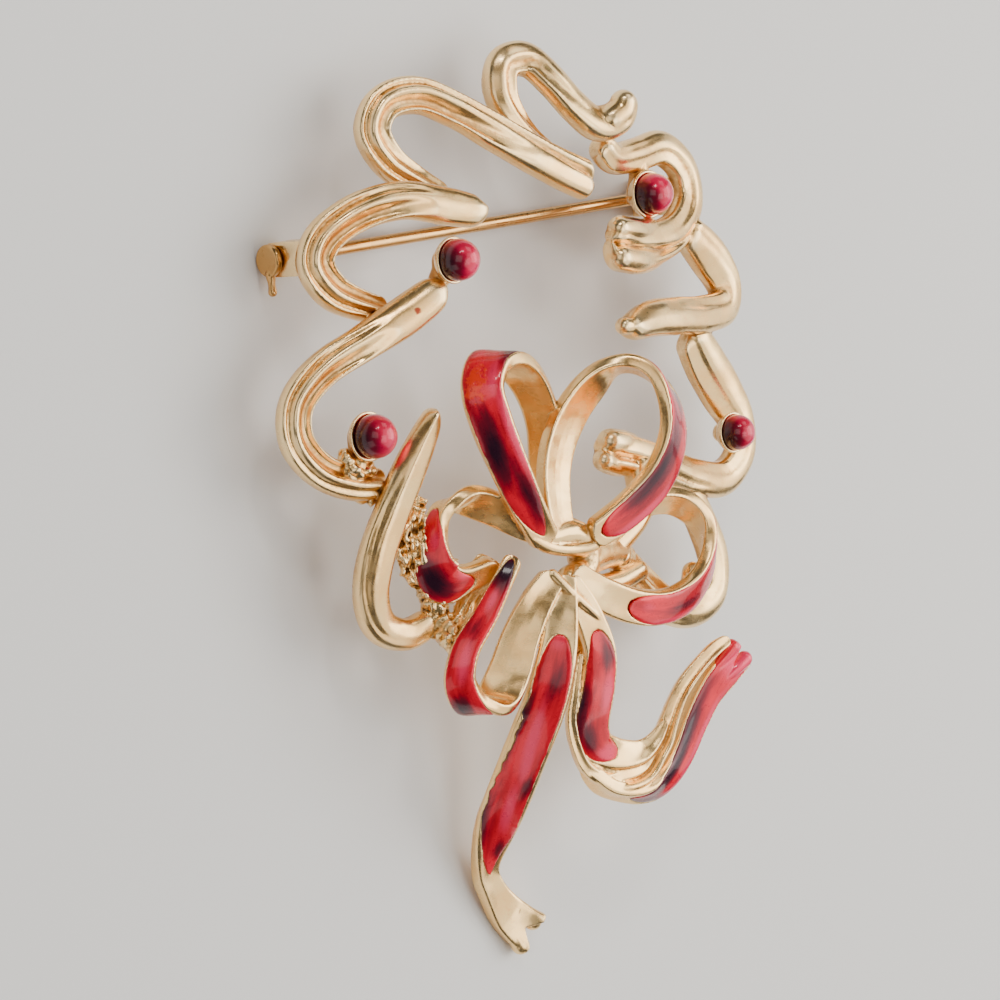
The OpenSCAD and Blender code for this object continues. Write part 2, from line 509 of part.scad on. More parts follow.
module gilt_casting() {
  color("goldenrod") place() {
    for (rows = CURLS) sweep(smooth(rows), CURL_SECTION, curl_t);
    for (rows = RIBBONS) sweep(smooth(rows), RIBBON_SECTION, ribbon_t);
    forked(TAIL_LONG, NOTCH_LONG) sweep(smooth(TAIL_LONG), RIBBON_SECTION, ribbon_t);
    forked(TAIL_RISING, NOTCH_RISING) sweep(smooth(TAIL_RISING), RIBBON_SECTION, ribbon_t);
    sweep(smooth(TAIL_EDGE), BAND_SECTION, ribbon_t);
    for (rows = WEBS) web(rows);
    for (row = BERRIES) cup(row);
    hinge_ears();
    catch_hook();
  }
}

// Enamel in a ribbon's channel, between two rows of the ribbon's table.
module glaze(rows, first, last) {
  rings = smooth(rows);
  sweep([for (i = [first * steps : last * steps]) rings[i]], ENAMEL_SECTION, ribbon_t, leaning = true);
}

module enamel(rows, first, last) {
  color("crimson") place() glaze(rows, first, last);
}

// The rising tail's enamel has the tail's notch, cut a little deeper and wider.
module enamel_tail_rising() {
  color("crimson") place() forked(TAIL_RISING, NOTCH_RISING + NOTCH_GAP) glaze(TAIL_RISING, 3, 9.5);
}

module berry(i) {
  color("crimson") place() translate(middle(BERRIES[i])) sphere(r = BERRIES[i][7] * berry_size, $fn = 48);
}

module pin_stem() {
  color("gold") place() at_fitting(HINGE_AT) {
    rotate([90, 0, 0]) cylinder(r = knuckle_r, h = knuckle_w, center = true, $fn = 48);
    rotate([90, 0, 0]) cylinder(r = trunnion_r, h = knuckle_w + 2 * ear_w, center = true, $fn = 48);
    rotate([0, -90, 0]) cylinder(r = wire_r, h = wire_len, $fn = 48);
    translate([-wire_len, 0, 0]) rotate([0, -90, 0])
      cylinder(r1 = wire_r, r2 = point_r, h = point_len, $fn = 48);
  }
}

// The lever is a sleeve inside the catch, with a closed round head and a thumb tab past the catch's outer end.
module catch_lever() {
  head_x = -catch_len / 2 - run_gap;
  color("gold") place() at_fitting(CATCH_AT)
    difference() {
      union() {
        translate([head_x, 0, 0]) rotate([0, 90, 0]) cylinder(r = lever_r, h = catch_len, $fn = 48);
        translate([head_x - head_t, 0, 0]) {
          rotate([0, 90, 0]) cylinder(r = ear_r - run_gap, h = head_t, $fn = 48);
          translate([0, -tab_reach, -head_t / 2]) cube([head_t, tab_reach, head_t]);
        }
      }
      translate([head_x, 0, 0]) rotate([0, 90, 0]) cylinder(r = wire_r + 2 * run_gap, h = 2 * catch_len, $fn = 48);
    }
}

gilt_casting();
enamel(LOOP_UPPER_LEFT, 0.5, 6);  // enamel_loop_upper_left
enamel(LOOP_UPPER_RIGHT, 5, 10.5);  // enamel_loop_upper_right
enamel(LOOP_SIDE_LEFT, 4, 8);  // enamel_loop_side_left
enamel(LOOP_SIDE_RIGHT, 2, 7);  // enamel_loop_side_right
enamel(LOOP_LOWER, 0.5, 5.5);  // enamel_loop_lower
enamel(TAIL_LONG, 1.5, 7);  // enamel_tail_long
enamel(TAIL_WAVY, 1.5, 6);  // enamel_tail_wavy
enamel_tail_rising();
berry(0);  // berry_left_upper
berry(1);  // berry_left_lower
berry(2);  // berry_right_upper
berry(3);  // berry_right_lower
pin_stem();
catch_lever();
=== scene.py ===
"""Christmas wreath brooch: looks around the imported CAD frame.

Tables are in millimetres from the garland's centre: x to the right, y up the brooch, z out of its face.
A row is one section: x, y, z of its middle, its width, then the direction that its face looks in, where the curls
leave out the last number, 1.
"""
import math

import bmesh
import bpy
import numpy as np
from mathutils import Matrix, Vector, noise


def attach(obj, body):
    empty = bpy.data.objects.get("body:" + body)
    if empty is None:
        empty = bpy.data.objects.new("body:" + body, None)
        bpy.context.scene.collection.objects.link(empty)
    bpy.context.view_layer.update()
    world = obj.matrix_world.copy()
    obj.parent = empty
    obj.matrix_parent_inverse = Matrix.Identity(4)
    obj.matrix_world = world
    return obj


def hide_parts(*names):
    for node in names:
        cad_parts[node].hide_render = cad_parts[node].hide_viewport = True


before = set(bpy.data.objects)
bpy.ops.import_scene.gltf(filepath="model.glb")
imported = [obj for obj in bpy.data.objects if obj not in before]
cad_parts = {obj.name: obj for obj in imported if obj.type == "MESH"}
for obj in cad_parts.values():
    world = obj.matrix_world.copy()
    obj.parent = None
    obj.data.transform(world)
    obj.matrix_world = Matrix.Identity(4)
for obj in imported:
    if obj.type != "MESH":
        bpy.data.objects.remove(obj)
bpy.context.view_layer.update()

MM = 0.001
CENTRE = np.array((-1.15, 7.35, 4.5))  # the garland's centre in the row frame
CURL_T = 1.8  # thickness of the garland's curls
RIBBON_T = 0.95  # thickness of the bow's ribbons
CHANNEL_D = 0.3  # depth of a ribbon's channel for enamel
CHANNEL_EDGE = 0.84  # half width of a channel, in shares of the ribbon's
CHANNEL_SLOPE = 0.06  # how far the channel's wall slants, in the same shares
CUP_WALL = 0.25  # of the berries' cups
CUP_GAP = 0.02  # between a berry and its cup


def facing(way, *rows):
    """Rows that all look the same way."""
    return tuple((*row, *way) for row in rows)


CURL_TOP = (
    (7.8, 19.7, 2.8, 1, 0.5, 0.6), (7.6, 19, 2.7, 1.9, 0.5, 0.6), (7, 18.1, 2.4, 2.3, 0.4, 0.5),
    (5.5, 17.7, 1.9, 2.5, 0.3, 0.4), (3.8, 18.8, 1.5, 2.5, 0.3, 0.4), (2.2, 20.4, 1, 2.5, 0.2, 0.4),
    (0.6, 21.7, 0.3, 2.4, 0.1, 0.4), (-1.2, 21.3, 0, 2.3, -0.4, 0.3), (-1.5, 19.6, 0, 2.3, -0.4, 0),
    (-0.8, 18, 0.2, 2.1, -0.2, 0), (0.6, 16.4, 0.6, 1.9, 0, 0.2), (2, 15.1, 1.4, 1.7, 0, 0.2),
)
CURL_UPPER_LEFT = (
    (3.8, 13.7, 3, 2.9, -0.1, 0.3), (1.4, 14.4, 2.8, 2.9, -0.1, 0.4), (-1.5, 15.5, 2.4, 2.9, -0.1, 0.5),
    (-4.3, 16.7, 1.9, 2.8, -0.1, 0.5), (-7, 17.9, 1.3, 2.6, -0.1, 0.5), (-9.6, 18.7, 0.6, 2.5, -0.2, 0.4),
    (-12, 18.1, 0.1, 2.4, -0.4, 0.3), (-12.9, 16.3, -0.1, 2.4, -0.5, 0), (-11.6, 14.4, 0, 2.3, -0.3, 0),
    (-9.4, 13.1, 0.4, 2, 0, 0), (-7.6, 12, 1.2, 1.8, 0, 0),
)
CURL_LEFT = (
    (-6.1, 11.5, 3.3, 1.3, 0, 0.1), (-7, 11.3, 3.1, 2.1, -0.1, 0.2), (-8.8, 11.5, 2.7, 2.5, -0.1, 0.3),
    (-12, 11.8, 1.9, 2.5, -0.1, 0.3), (-15, 11, 1, 2.5, -0.3, 0.2), (-17.2, 9.4, 0.2, 2.5, -0.5, 0.1),
    (-17.9, 7.6, 0, 2.5, -0.5, 0), (-16.5, 5.9, 0.1, 2.4, -0.3, 0), (-14.3, 5.1, 0.4, 2, -0.1, 0),
    (-12.4, 4.7, 0.7, 1.8, 0, 0),
)
CURL_LOWER_LEFT = (
    (-9.7, 6.3, 3, 1.5, -0.1, 0.1), (-10.6, 5.8, 3, 2.3, -0.2, 0.3), (-12.7, 4.3, 2.4, 2.6, -0.3, 0.3),
    (-15.2, 2.7, 1.6, 2.4, -0.3, 0.3), (-18, 0.9, 0.7, 2.3, -0.3, 0.2), (-19.6, -1.2, 0.1, 2.3, -0.4, 0),
    (-19.5, -3.5, 0, 2.3, -0.4, -0.1), (-17.7, -5.3, 0.1, 2.3, -0.3, -0.2), (-15.2, -6.1, 0.4, 2.3, -0.1, -0.1),
    (-12.6, -6.2, 0.8, 2, 0, 0),
)
CURL_BOTTOM_LEFT = (
    (-10.9, -1.4, 3.6, 0.8, -0.3, 0), (-11.2, -2.6, 3.3, 1.6, -0.4, 0), (-12.1, -5, 2.7, 2.2, -0.4, 0.1),
    (-12.9, -7.7, 1.9, 2.3, -0.5, 0.1), (-13.5, -10.4, 1.1, 2.4, -0.5, 0), (-13.5, -13.1, 0.4, 2.4, -0.4, 0),
    (-12.3, -15.2, 0, 2.3, -0.3, 0), (-10.1, -15.8, 0.1, 2.1, -0.1, 0), (-8, -14.8, 0.5, 1.8, 0, 0),
)
CURL_BOTTOM_RIGHT = (
    (7.9, -11, 1.7, 2.2, -0.2, 0), (10.4, -12.8, 1.4, 2.5, 0, -0.1), (13.4, -14.3, 0.9, 2.5, 0, -0.2),
    (16.6, -14.7, 0.3, 2.4, 0.1, -0.2), (18.9, -13.6, 0, 2.4, 0.2, 0), (19.2, -11.4, 0, 2.4, 0.2, 0),
    (17.9, -9, 0.2, 2.3, 0.1, 0), (15.5, -6.2, 0.6, 2, 0, 0),
)
CURL_LOWER_RIGHT = (
    (5.7, -4, 2, 2.4, -0.3, 0), (8.8, -4.2, 1.9, 2.6, -0.1, 0), (12.2, -4.8, 1.5, 2.6, 0, 0.1),
    (16.2, -5.6, 0.8, 2.5, 0, 0.1), (19.8, -5.7, 0.2, 2.5, 0.1, 0), (21.8, -4, 0, 2.5, 0.2, 0),
    (21.6, -1.8, 0, 2.8, 0, 0), (19.8, 0.2, 0.2, 3.3, -0.2, 0), (17.6, 2.2, 0.6, 3.3, -0.2, 0),
    (15.6, 4.2, 1, 2.6, -0.1, 0),
)
CURL_RIGHT = (
    (7, 4.1, 3.2, 1, -0.2, 0.2), (8.2, 4.4, 3, 2, -0.1, 0.3), (10.2, 4.9, 2.6, 2.5, 0, 0.3),
    (13.4, 5.2, 2, 2.6, 0, 0.3), (16.8, 5.4, 1.2, 2.6, 0, 0.2), (19.6, 6.1, 0.5, 2.6, 0.1, 0),
    (19.9, 7.8, 0.2, 2.8, 0, -0.1), (17.9, 9.6, 0.5, 3, -0.2, 0), (15.2, 11.1, 1, 2.4, -0.1, 0),
)
CURL_UPPER_RIGHT = (
    (5.6, 9.9, 3.1, 2.8, -0.3, 0), (6.4, 9.8, 3, 3.7, -0.3, 0), (8.4, 9.7, 2.5, 3.6, -0.1, 0.1),
    (11.2, 10, 1.9, 3, 0, 0.1), (14.2, 11.1, 1.1, 2.6, 0.1, 0), (16.2, 13.1, 0.3, 2.5, 0.2, 0),
    (15.9, 15.4, 0, 2.4, 0.2, 0.1), (13.8, 16.6, 0, 2.4, 0.1, 0.2), (11, 16, 0.4, 2.3, -0.1, 0.1),
    (8.2, 15.6, 0.9, 2.1, -0.2, 0), (6.4, 16.6, 1.3, 1.8, 0, 0),
)
LOOP_UPPER_LEFT = (
    (-1.5, -9.9, 4.2, 2, -0.5, 0.1, 0.8), (-3.6, -7.6, 4.6, 2.3, -0.7, 0.1, 0.7), (-5.6, -5, 4.9, 2.6, -0.7, 0.1, 0.7),
    (-7.2, -2.4, 5, 2.8, -0.7, 0.1, 0.7), (-7.9, 0, 4.8, 2.8, -0.7, 0.3, 0.6), (-6.7, 1.7, 4.4, 2.8, -0.3, 0.9, 0.3),
    (-4.4, 1.6, 4, 2.6, 0.4, 0.9, -0.3), (-2.1, 0.2, 3.4, 2.4, 0.7, 0.4, -0.6), (-0.1, -2.2, 2.6, 2.3, 0.8, 0.1, -0.6),
    (0.7, -5.2, 2.1, 2.2, 0.8, 0, -0.6), (0.9, -8.6, 2.6, 2, 0.7, 0, -0.7),
)
LOOP_UPPER_RIGHT = (
    (0.2, -10, 4.1, 2, -0.1, 0, -1), (-0.5, -7.2, 4, 2.5, -0.1, 0, -1), (-0.3, -4.6, 3.8, 2.8, -0.1, 0, -1),
    (0.8, -2.1, 3.8, 2.8, -0.1, 0.1, -1), (2.7, 0.2, 4.1, 2.8, 0, 0.5, -0.9), (4.7, 1.7, 5, 2.8, 0.2, 1, -0.1),
    (6.1, 1.2, 6.3, 2.8, 0.6, 0.8, 0.5), (7, -0.8, 7.2, 2.8, 0.5, 0.2, 0.9), (7.1, -3.2, 7.4, 2.8, 0.3, 0, 1),
    (6.2, -5.8, 6.9, 2.7, 0.1, -0.1, 1), (4.3, -7.9, 6, 2.5, 0, -0.2, 1), (2, -9.6, 4.9, 2.1, 0, -0.2, 1),
)
LOOP_SIDE_LEFT = (
    (0.8, -9.8, 4, 1.5, 0.1, 0.5, -0.8), (-2.4, -8.9, 3.4, 1.9, 0.1, 0.6, -0.8), (-5, -7.7, 2.8, 2.3, 0, 0.6, -0.8),
    (-7.2, -7.2, 2.3, 2.2, -0.4, 0.7, -0.6), (-8.8, -8, 1.9, 1.5, -0.9, 0.5, 0), (-9.2, -9.7, 1.8, 1.7, -0.9, 0.1, 0.5),
    (-9.3, -11.4, 1.9, 2.9, -0.7, -0.2, 0.7), (-8.5, -12.4, 2.1, 3.2, -0.6, -0.3, 0.8),
    (-7.2, -12.3, 2.6, 2, -0.5, -0.5, 0.8), (-5.3, -11.4, 3.5, 1.4, -0.4, -0.4, 0.8),
)
LOOP_LOWER = (
    (-4.6, -10.9, 4.4, 1.2, -0.6, 0.6, 0.7), (-5.4, -12.2, 4.3, 1.35, -0.7, 0.2, 0.7),
    (-6.6, -14.6, 3.8, 1.6, -0.7, 0.1, 0.7), (-7.9, -16.8, 3.3, 1.85, -0.7, 0.1, 0.7),
    (-8, -18.9, 2.9, 2.1, -0.7, -0.2, 0.7), (-6.5, -20.4, 2.6, 2.4, -0.4, -0.9, 0.3),
    (-4.6, -20.2, 2.6, 2.8, 0.3, -0.8, -0.4), (-3.5, -18.4, 2.8, 2.8, 0.6, -0.2, -0.7),
    (-2.7, -16, 3.1, 2.5, 0.6, -0.1, -0.7), (-1.7, -13.7, 3.6, 2.1, 0.5, 0, -0.8), (-0.5, -12, 4, 1.7, 0.4, 0, -0.9),
)
LOOP_SIDE_RIGHT = (
    (0.8, -12, 4.2, 2, 0, -0.2, 1), (3, -13.3, 4.8, 2.3, 0, -0.3, 1), (5.9, -14.2, 5.2, 2.4, 0, -0.3, 1),
    (8.9, -14.2, 5.3, 2.4, 0.1, -0.3, 1), (11.6, -13.1, 5.2, 2.5, 0.5, -0.2, 0.9), (13.2, -11, 5, 2.5, 0.7, 0.1, 0.7),
    (13.3, -8.8, 4.4, 2.5, 0.8, 0.5, 0.2), (11.8, -7.4, 3.8, 2.4, 0.4, 0.9, -0.4), (9.4, -7.3, 3.4, 2.3, 0, 0.8, -0.7),
    (6.6, -8.4, 3.2, 2.2, 0, 0.5, -0.9), (3.6, -10.4, 3.4, 2, 0, 0.3, -1),
)
TAIL_LONG = (
    (0.2, -12.1, 4.1, 1.6, -0.4, 0, 1), (-0.2, -14.6, 4.4, 2.1, -0.6, 0, 0.8), (-0.7, -17.4, 4.4, 2.6, -0.7, 0, 0.7),
    (-1.1, -20.2, 3.8, 2.9, -0.7, 0.1, 0.7), (-1.3, -23, 2.5, 3, -0.7, 0.2, 0.7), (-1, -26, 0.6, 3, -0.6, 0.4, 0.7),
    (-0.5, -28.8, -1.4, 2.8, -0.4, 0.4, 0.8), (0.3, -31.5, -3.1, 2, -0.2, 0.3, 0.9), (1.2, -33, -3.5, 2, -0.1, 0.1, 1),
    (2.7, -34.5, -3.75, 2.5, -0.2, -0.1, 1), (4, -35.6, -3.55, 2.9, -0.3, -0.2, 1), (5, -36.2, -3.2, 3, -0.3, -0.2, 1),
)
TAIL_WAVY = (
    (0.4, -12.3, 4.2, 1.5, -0.4, 0.1, 1), (1.7, -14.4, 4.6, 2, -0.5, 0.2, 1), (3, -17, 4.6, 2.3, -0.5, 0.1, 1),
    (3.3, -19.4, 4.2, 2.4, -0.5, 0.1, 1), (3.2, -21.8, 3.7, 2.5, -0.5, 0.1, 1), (3.9, -23.2, 3.5, 2.4, -0.4, -0.2, 0.9),
    (5.3, -23.8, 3.5, 2.2, -0.4, 0, 0.9), (6.8, -24, 3.6, 1.9, -0.4, 0.2, 0.9), (8.2, -23.8, 3.7, 1.5, -0.5, 0.3, 0.8),
    (9.2, -23, 3.9, 1, -0.5, 0.2, 0.8), (9.9, -21.9, 4.1, 0.6, -0.6, 0.1, 0.8),
)
TAIL_RISING = (
    (2.9, -24.2, 3.1, 0.6, -0.7, -0.6, 0.3), (4, -25.3, 3.1, 1.4, -0.5, -0.8, 0.1), (5.5, -26.2, 3, 1.9, -0.2, -1, 0.1),
    (7.5, -26.6, 3.1, 2.1, 0, -0.9, 0.3), (9.2, -26.5, 3.3, 2.2, 0.1, -0.7, 0.6),
    (10.6, -25.7, 3.5, 2.2, 0.1, -0.4, 0.9), (11.8, -24.2, 3.7, 2.2, 0, -0.2, 1), (12.9, -21.9, 4, 2.2, -0.1, -0.1, 1),
    (13.7, -20.2, 4.4, 2.3, -0.1, -0.1, 1), (14.7, -18.9, 4.8, 2.5, -0.1, -0.1, 1),
    (16.3, -17.4, 5.1, 2.4, -0.1, -0.1, 1),
)
TONGUE = facing(
    (-0.5, 0, 1), (1.4, -12.6, 3.4, 1.4), (2, -15.6, 3.2, 1.4), (2.2, -18.4, 2.9, 1.2), (2.2, -20.4, 2.6, 0.7),
)
PLEAT = facing(
    (-0.7, -0.1, 0.7), (-4.9, -11.2, 3.2, 2.6), (-5.7, -12.2, 2.9, 2.6), (-6.4, -13.6, 2.4, 2.2),
    (-7.2, -15.1, 2.3, 1.6), (-8, -16.6, 2.2, 0.8),
)
TAIL_EDGE = facing(
    (-0.6, 0.1, 0.8), (2, -17.2, 3.9, 0.4), (1.8, -19.6, 3.6, 0.6), (1.9, -22, 3.2, 0.7), (3, -24.5, 3.2, 0.8),
    (5, -25.7, 3.3, 1.1), (6.9, -25.6, 3.6, 1.7), (8.4, -25.1, 3.7, 1.7), (9.2, -24, 3.9, 1.6), (9.8, -23.1, 4, 1.55),
    (10.2, -21.9, 4.2, 1.35), (10.7, -20.4, 4.5, 1.2), (11.5, -19.2, 4.7, 1.15), (12.6, -18, 5, 1.05),
    (13.7, -17.1, 5.2, 1), (14.7, -16.6, 5.3, 0.8),
)
# A fillet fills the seam between the wavy tail and the band round its bend.
SEAM = ((3.6, -24.2, 3.2, 0.3), (4.9, -24.8, 3.3, 0.38), (6.4, -24.9, 3.4, 0.4), (7.8, -24.6, 3.5, 0.38),
        (9, -23.6, 3.7, 0.3))
# Each curl: its rows; then, at its tip, bend and return and in shares of half the thickness, how deep the narrow groove
# near its outer edge is, and how deep the wide hollow near its inner edge is; then the length over which its tip is
# rounded, how far the tip's middle stands back, in millimetres, and how much its tip is ridged like a keel.
CURLS = (
    (CURL_TOP, (0, 0, 0.1), (0, 0.45, 0.2), 1.3, 0, 0),
    (CURL_UPPER_LEFT, (0.6, 0.5, 0.35), (0, 0.95, 0.2), 0.6, 0.25, 0),
    (CURL_LEFT, (0, 0.5, 0.3), (0, 0.95, 0.6), 1.1, 0, 0.2),
    (CURL_LOWER_LEFT, (0, 0.5, 0.15), (0, 0.95, 0.6), 1, 0, 0.2),
    (CURL_BOTTOM_LEFT, (0, 0.2, 0), (0, 0.1, 0), 0.5, 0, 0.8),
    (CURL_BOTTOM_RIGHT, (0.3, 0, 0), (0.2, 0.2, 0), 1, 0, 0),
    (CURL_LOWER_RIGHT, (0.6, 0, 0), (0, 0.15, 0.3), 0.9, 0.15, 0),
    (CURL_RIGHT, (0, 0, 0.1), (0, 0.25, 0), 0.9, 0, 0.3),
    (CURL_UPPER_RIGHT, (0.9, 0, 0.1), (0, 0.3, 0.15), 1.1, 0.3, 0),
)
# Each enamelled ribbon: its rows, those between which its channel holds enamel, and the lengths over which the enamel
# narrows at its start and end.
LOOPS = (
    ("loop_upper_left", LOOP_UPPER_LEFT, 0.3, 6, 3.5, 1.2),
    ("loop_upper_right", LOOP_UPPER_RIGHT, 5, 10.7, 2, 1.8),
    ("loop_side_left", LOOP_SIDE_LEFT, 4, 8.2, 1.5, 2),
    ("loop_side_right", LOOP_SIDE_RIGHT, 1.7, 7, 2.6, 2),
)
TAILS = (
    ("loop_lower", LOOP_LOWER, 0.3, 5.7, 2.9, 1.2),
    ("tail_long", TAIL_LONG, 1.5, 7.2, 2.8, 4.5),
    ("tail_wavy", TAIL_WAVY, 1.5, 6.2, 2.8, 2.6),
    ("tail_rising", TAIL_RISING, 3, 10, 3, 0),
)
# Notches in the forked tails: depth and width at the end, in shares of the ribbon's width there.
NOTCHES = {"tail_long": (0.35, 0.7), "tail_rising": (0.65, 0.4)}
# Patches of each enamel: share of its length, place across it, reach along and across, how strong the patch is and,
# where it slants, how far across it moves over its reach along. The dark patches are painted dark purple reflection and
# shade, the pink patches are a painted bright pink highlight, and worn is crazed and orange.
DARK_REFLECTIONS = {
    "loop_upper_left": ((0.24, 0.3, 0.2, 0.6, 0.9), (0.47, -0.35, 0.2, 0.6, 1.15, 0.1),
                        (0.94, 0.65, 0.12, 0.5, 1)),
    "loop_upper_right": ((0.15, -0.2, 0.2, 0.9, 1), (0.62, 0.45, 0.32, 0.55, 1.15)),
    "loop_side_left": ((0.62, 0.25, 0.18, 0.6, 1.3),),
    "loop_side_right": ((0.9, 0, 0.2, 0.9, 1), (0.35, 0.1, 0.3, 0.3, 0.7)),
    "loop_lower": ((0.07, 0.1, 0.11, 1.2, 1.25, 0.2), (0.42, 0.2, 0.1, 0.7, 0.6), (0.84, 0.35, 0.08, 0.7, 1.1)),
    "tail_long": ((0.15, -0.3, 0.11, 0.5, 0.75, 0.3), (0.38, 0.95, 0.2, 0.45, 1.3, 0.1),
                  (0.56, -0.65, 0.06, 0.3, 0.75), (0.74, 0.8, 0.16, 0.45, 0.95), (0.88, -0.3, 0.06, 0.6, 0.7)),
    "tail_wavy": ((0.18, -0.3, 0.14, 0.55, 0.85), (0.56, 0.8, 0.22, 0.55, 1.25), (0.72, 0.35, 0.12, 0.45, 1)),
    "tail_rising": ((0.4, -0.5, 0.4, 0.55, 1.25), (0.08, 0.4, 0.14, 0.8, 0.9)),
}
PINK_HIGHLIGHTS = {
    "loop_upper_left": ((0.52, 0.75, 0.24, 0.3, 1.1), (0.74, 0.5, 0.1, 0.3, 0.9), (0.9, -0.4, 0.07, 0.3, 0.8)),
    "loop_upper_right": ((0.03, 0.3, 0.05, 0.3, 0.9), (0.36, 0.45, 0.09, 0.4, 0.8), (0.78, -0.6, 0.22, 0.3, 1.1)),
    "loop_side_left": ((0.28, -0.2, 0.13, 0.4, 0.9), (0.88, -0.5, 0.1, 0.4, 0.6)),
    "loop_side_right": ((0.4, 0.7, 0.26, 0.25, 1), (0.1, -0.2, 0.06, 0.4, 0.6)),
    "loop_lower": ((0.24, 0, 0.08, 0.4, 0.9), (0.6, -0.2, 0.13, 0.4, 1)),
    "tail_long": ((0.4, -0.15, 0.17, 0.28, 1.2, -0.2), (0.68, -0.25, 0.13, 0.3, 1), (0.03, 0, 0.04, 0.6, 0.7)),
    "tail_wavy": ((0.42, -0.5, 0.15, 0.35, 1.1), (0.9, 0.1, 0.08, 0.6, 1.1)),
    "tail_rising": ((0.45, 0.65, 0.36, 0.28, 1.1), (0.95, 0, 0.12, 0.9, 1.3)),
}
WORN = {"loop_upper_left": ((0.72, -0.3, 0.09, 0.6, 1.1, 0.2),)}
# Each berry: its middle, the foot where its cup's neck meets a curl, the rim's height, its radius and how far the cup
# opens.
BERRIES = {
    "berry_left_upper": (-9.8, 8, 4.65, -9.8, 6.8, 3, -0.5, 1.36, 0),
    "berry_left_lower": (-14.7, -3.2, 2.1, -15, -5.6, 0.8, -0.6, 1.42, 0.12),
    "berry_right_upper": (11.1, 13.3, 1.9, 11.2, 15.4, 0.6, -0.35, 1.4, 0.05),
    "berry_right_lower": (19, -2.6, 2.4, 20.8, -2, 0.4, -0.35, 1.22, 0),
}
# Chains of lumps, x, y, z, radius, that join the bow's ribbons to each other and to the curls.
SMOOTH_WEBS = (
    ((0.8, -9.4, 3.7, 0.9), (3, -10.4, 3.2, 1.1), (2.8, -11.8, 3.3, 1), (1, -12.3, 3.8, 0.8)),
    ((-2.6, -9.7, 4.1, 0.4), (-1.5, -10.2, 4.2, 0.45), (-0.3, -10.4, 4.3, 0.45), (1.1, -10.4, 4.4, 0.45),
     (2.2, -10.2, 4.7, 0.45), (3.2, -9.7, 5, 0.4)),
    ((-0.8, -12, 4.1, 0.35), (0.1, -13, 4.6, 0.33), (1.2, -13.9, 4.9, 0.3), (2.3, -14.7, 5, 0.28),
     (3.2, -15.6, 5, 0.26), (3.9, -17, 4.8, 0.22)),
    ((3.4, -11, 3, 1.2), (6.6, -10.6, 2.2, 1.1), (8.2, -11, 1.6, 1.1)),
    ((6.6, -10.4, 2.2, 1), (9.2, -8, 2.4, 0.9), (9.6, -5, 1.9, 1)),
    ((12.7, -12, 4, 0.7), (14.4, -13.4, 2.2, 0.8), (14.6, -14.2, 1, 0.9)),
    ((-1, -9.6, 3.9, 0.8), (0.8, -9.3, 3.8, 1), (2.2, -9.6, 4.2, 0.8)),
)
ROUGH_WEBS = (
    ((-12.9, -8.4, 1.4, 0.8), (-11.7, -8.8, 0.9, 0.8), (-10.4, -9.5, 0.4, 0.5)),
    ((-9.2, -11.4, 0.9, 0.8), (-8.2, -14.4, 0.8, 0.8), (-7.8, -16.2, 2, 0.8)),
    ((-15.4, -6.9, 0.3, 0.3), (-13.8, -7.1, 0.7, 0.4), (-12.4, -7.2, 1.2, 0.45)),
    ((-16, -4.4, 0.7, 0.45), (-15.4, -5.4, 0.8, 0.6), (-14.2, -5.2, 0.9, 0.5)),
)
# Thin crumpled sheets between the bow's left side and the bottom left curl. The columns are those of a ribbon.
FOIL_TOP = (
    (-10.4, -7, 1.9, 0.8, -0.6, 0.2, 0.8),
    (-11.1, -8.4, 1.7, 1.8, -0.6, 0.2, 0.8),
    (-11, -10, 1.4, 2.2, -0.6, 0, 0.8),
    (-10.4, -11.6, 1.2, 1.8, -0.5, -0.2, 0.8),
    (-9.6, -12.9, 1.2, 1.2, -0.5, -0.3, 0.8),
)
FOIL_LOW = (
    (-8.6, -13.2, 1.2, 1.4, -0.5, 0.1, 0.8),
    (-8.4, -14.6, 1.2, 1.8, -0.6, 0.1, 0.8),
    (-8.4, -16.2, 1.4, 1.4, -0.6, 0, 0.8),
)
# Lumps on the garland: the rolled tip of the bottom right curl, the balls on the right and the top curl's tips, and the
# two lobes at the tips of the upper and the lower right curls.
LUMPS = (
    ((7.5, -10.9, 2.1, 0.95), (7.7, -10.8, 2, 0.95)),
    ((5.6, -12.7, 2, 0.55), (7.4, -12.6, 2.1, 0.75), (9.4, -11.9, 2.1, 0.75)),
    ((6.9, 4.3, 3.2, 0.6), (7.2, 4.3, 3.2, 0.6)),
    ((7.3, 19.1, 2.75, 0.92), (7.1, 18.6, 2.65, 0.95), (6.4, 18, 2.4, 1)),
    ((6.4, 10.75, 3.2, 0.8), (7.8, 10.75, 2.9, 0.82), (9.4, 10.75, 2.35, 0.8), (11, 10.9, 1.6, 0.8)),
    ((6.5, 8.8, 3.2, 0.9), (8.4, 8.7, 2.75, 0.92), (10.4, 8.9, 2, 0.88), (12, 9.3, 1.3, 0.8)),
    ((6.6, -3.35, 2.2, 0.9), (7.8, -3.4, 2, 0.88), (9.2, -3.5, 1.5, 0.8)),
    ((6, -4.6, 2.2, 0.75), (7.2, -4.9, 1.9, 0.72), (8.4, -5, 1.5, 0.65)),
)
# Lumps that round the prongs of the forked tails, gold on the long one and enamel on the rising one.
PRONGS = (
    ((3.6, -34.8, -3.65, 0.45), (4.4, -35.1, -3.45, 0.58), (4.9, -35.35, -3.3, 0.62)),
    ((3.2, -35.8, -3.85, 0.45), (3.7, -36.4, -3.75, 0.58), (4.1, -36.95, -3.65, 0.62)),
)
ENAMEL_PRONGS = (
    ((14, -18.3, 5, 0.3), (14.7, -17.6, 5.15, 0.46), (15.2, -17.05, 5.25, 0.54)),
    ((14.8, -19.2, 5.05, 0.3), (15.7, -18.5, 5.2, 0.48), (16.5, -17.9, 5.25, 0.56)),
)
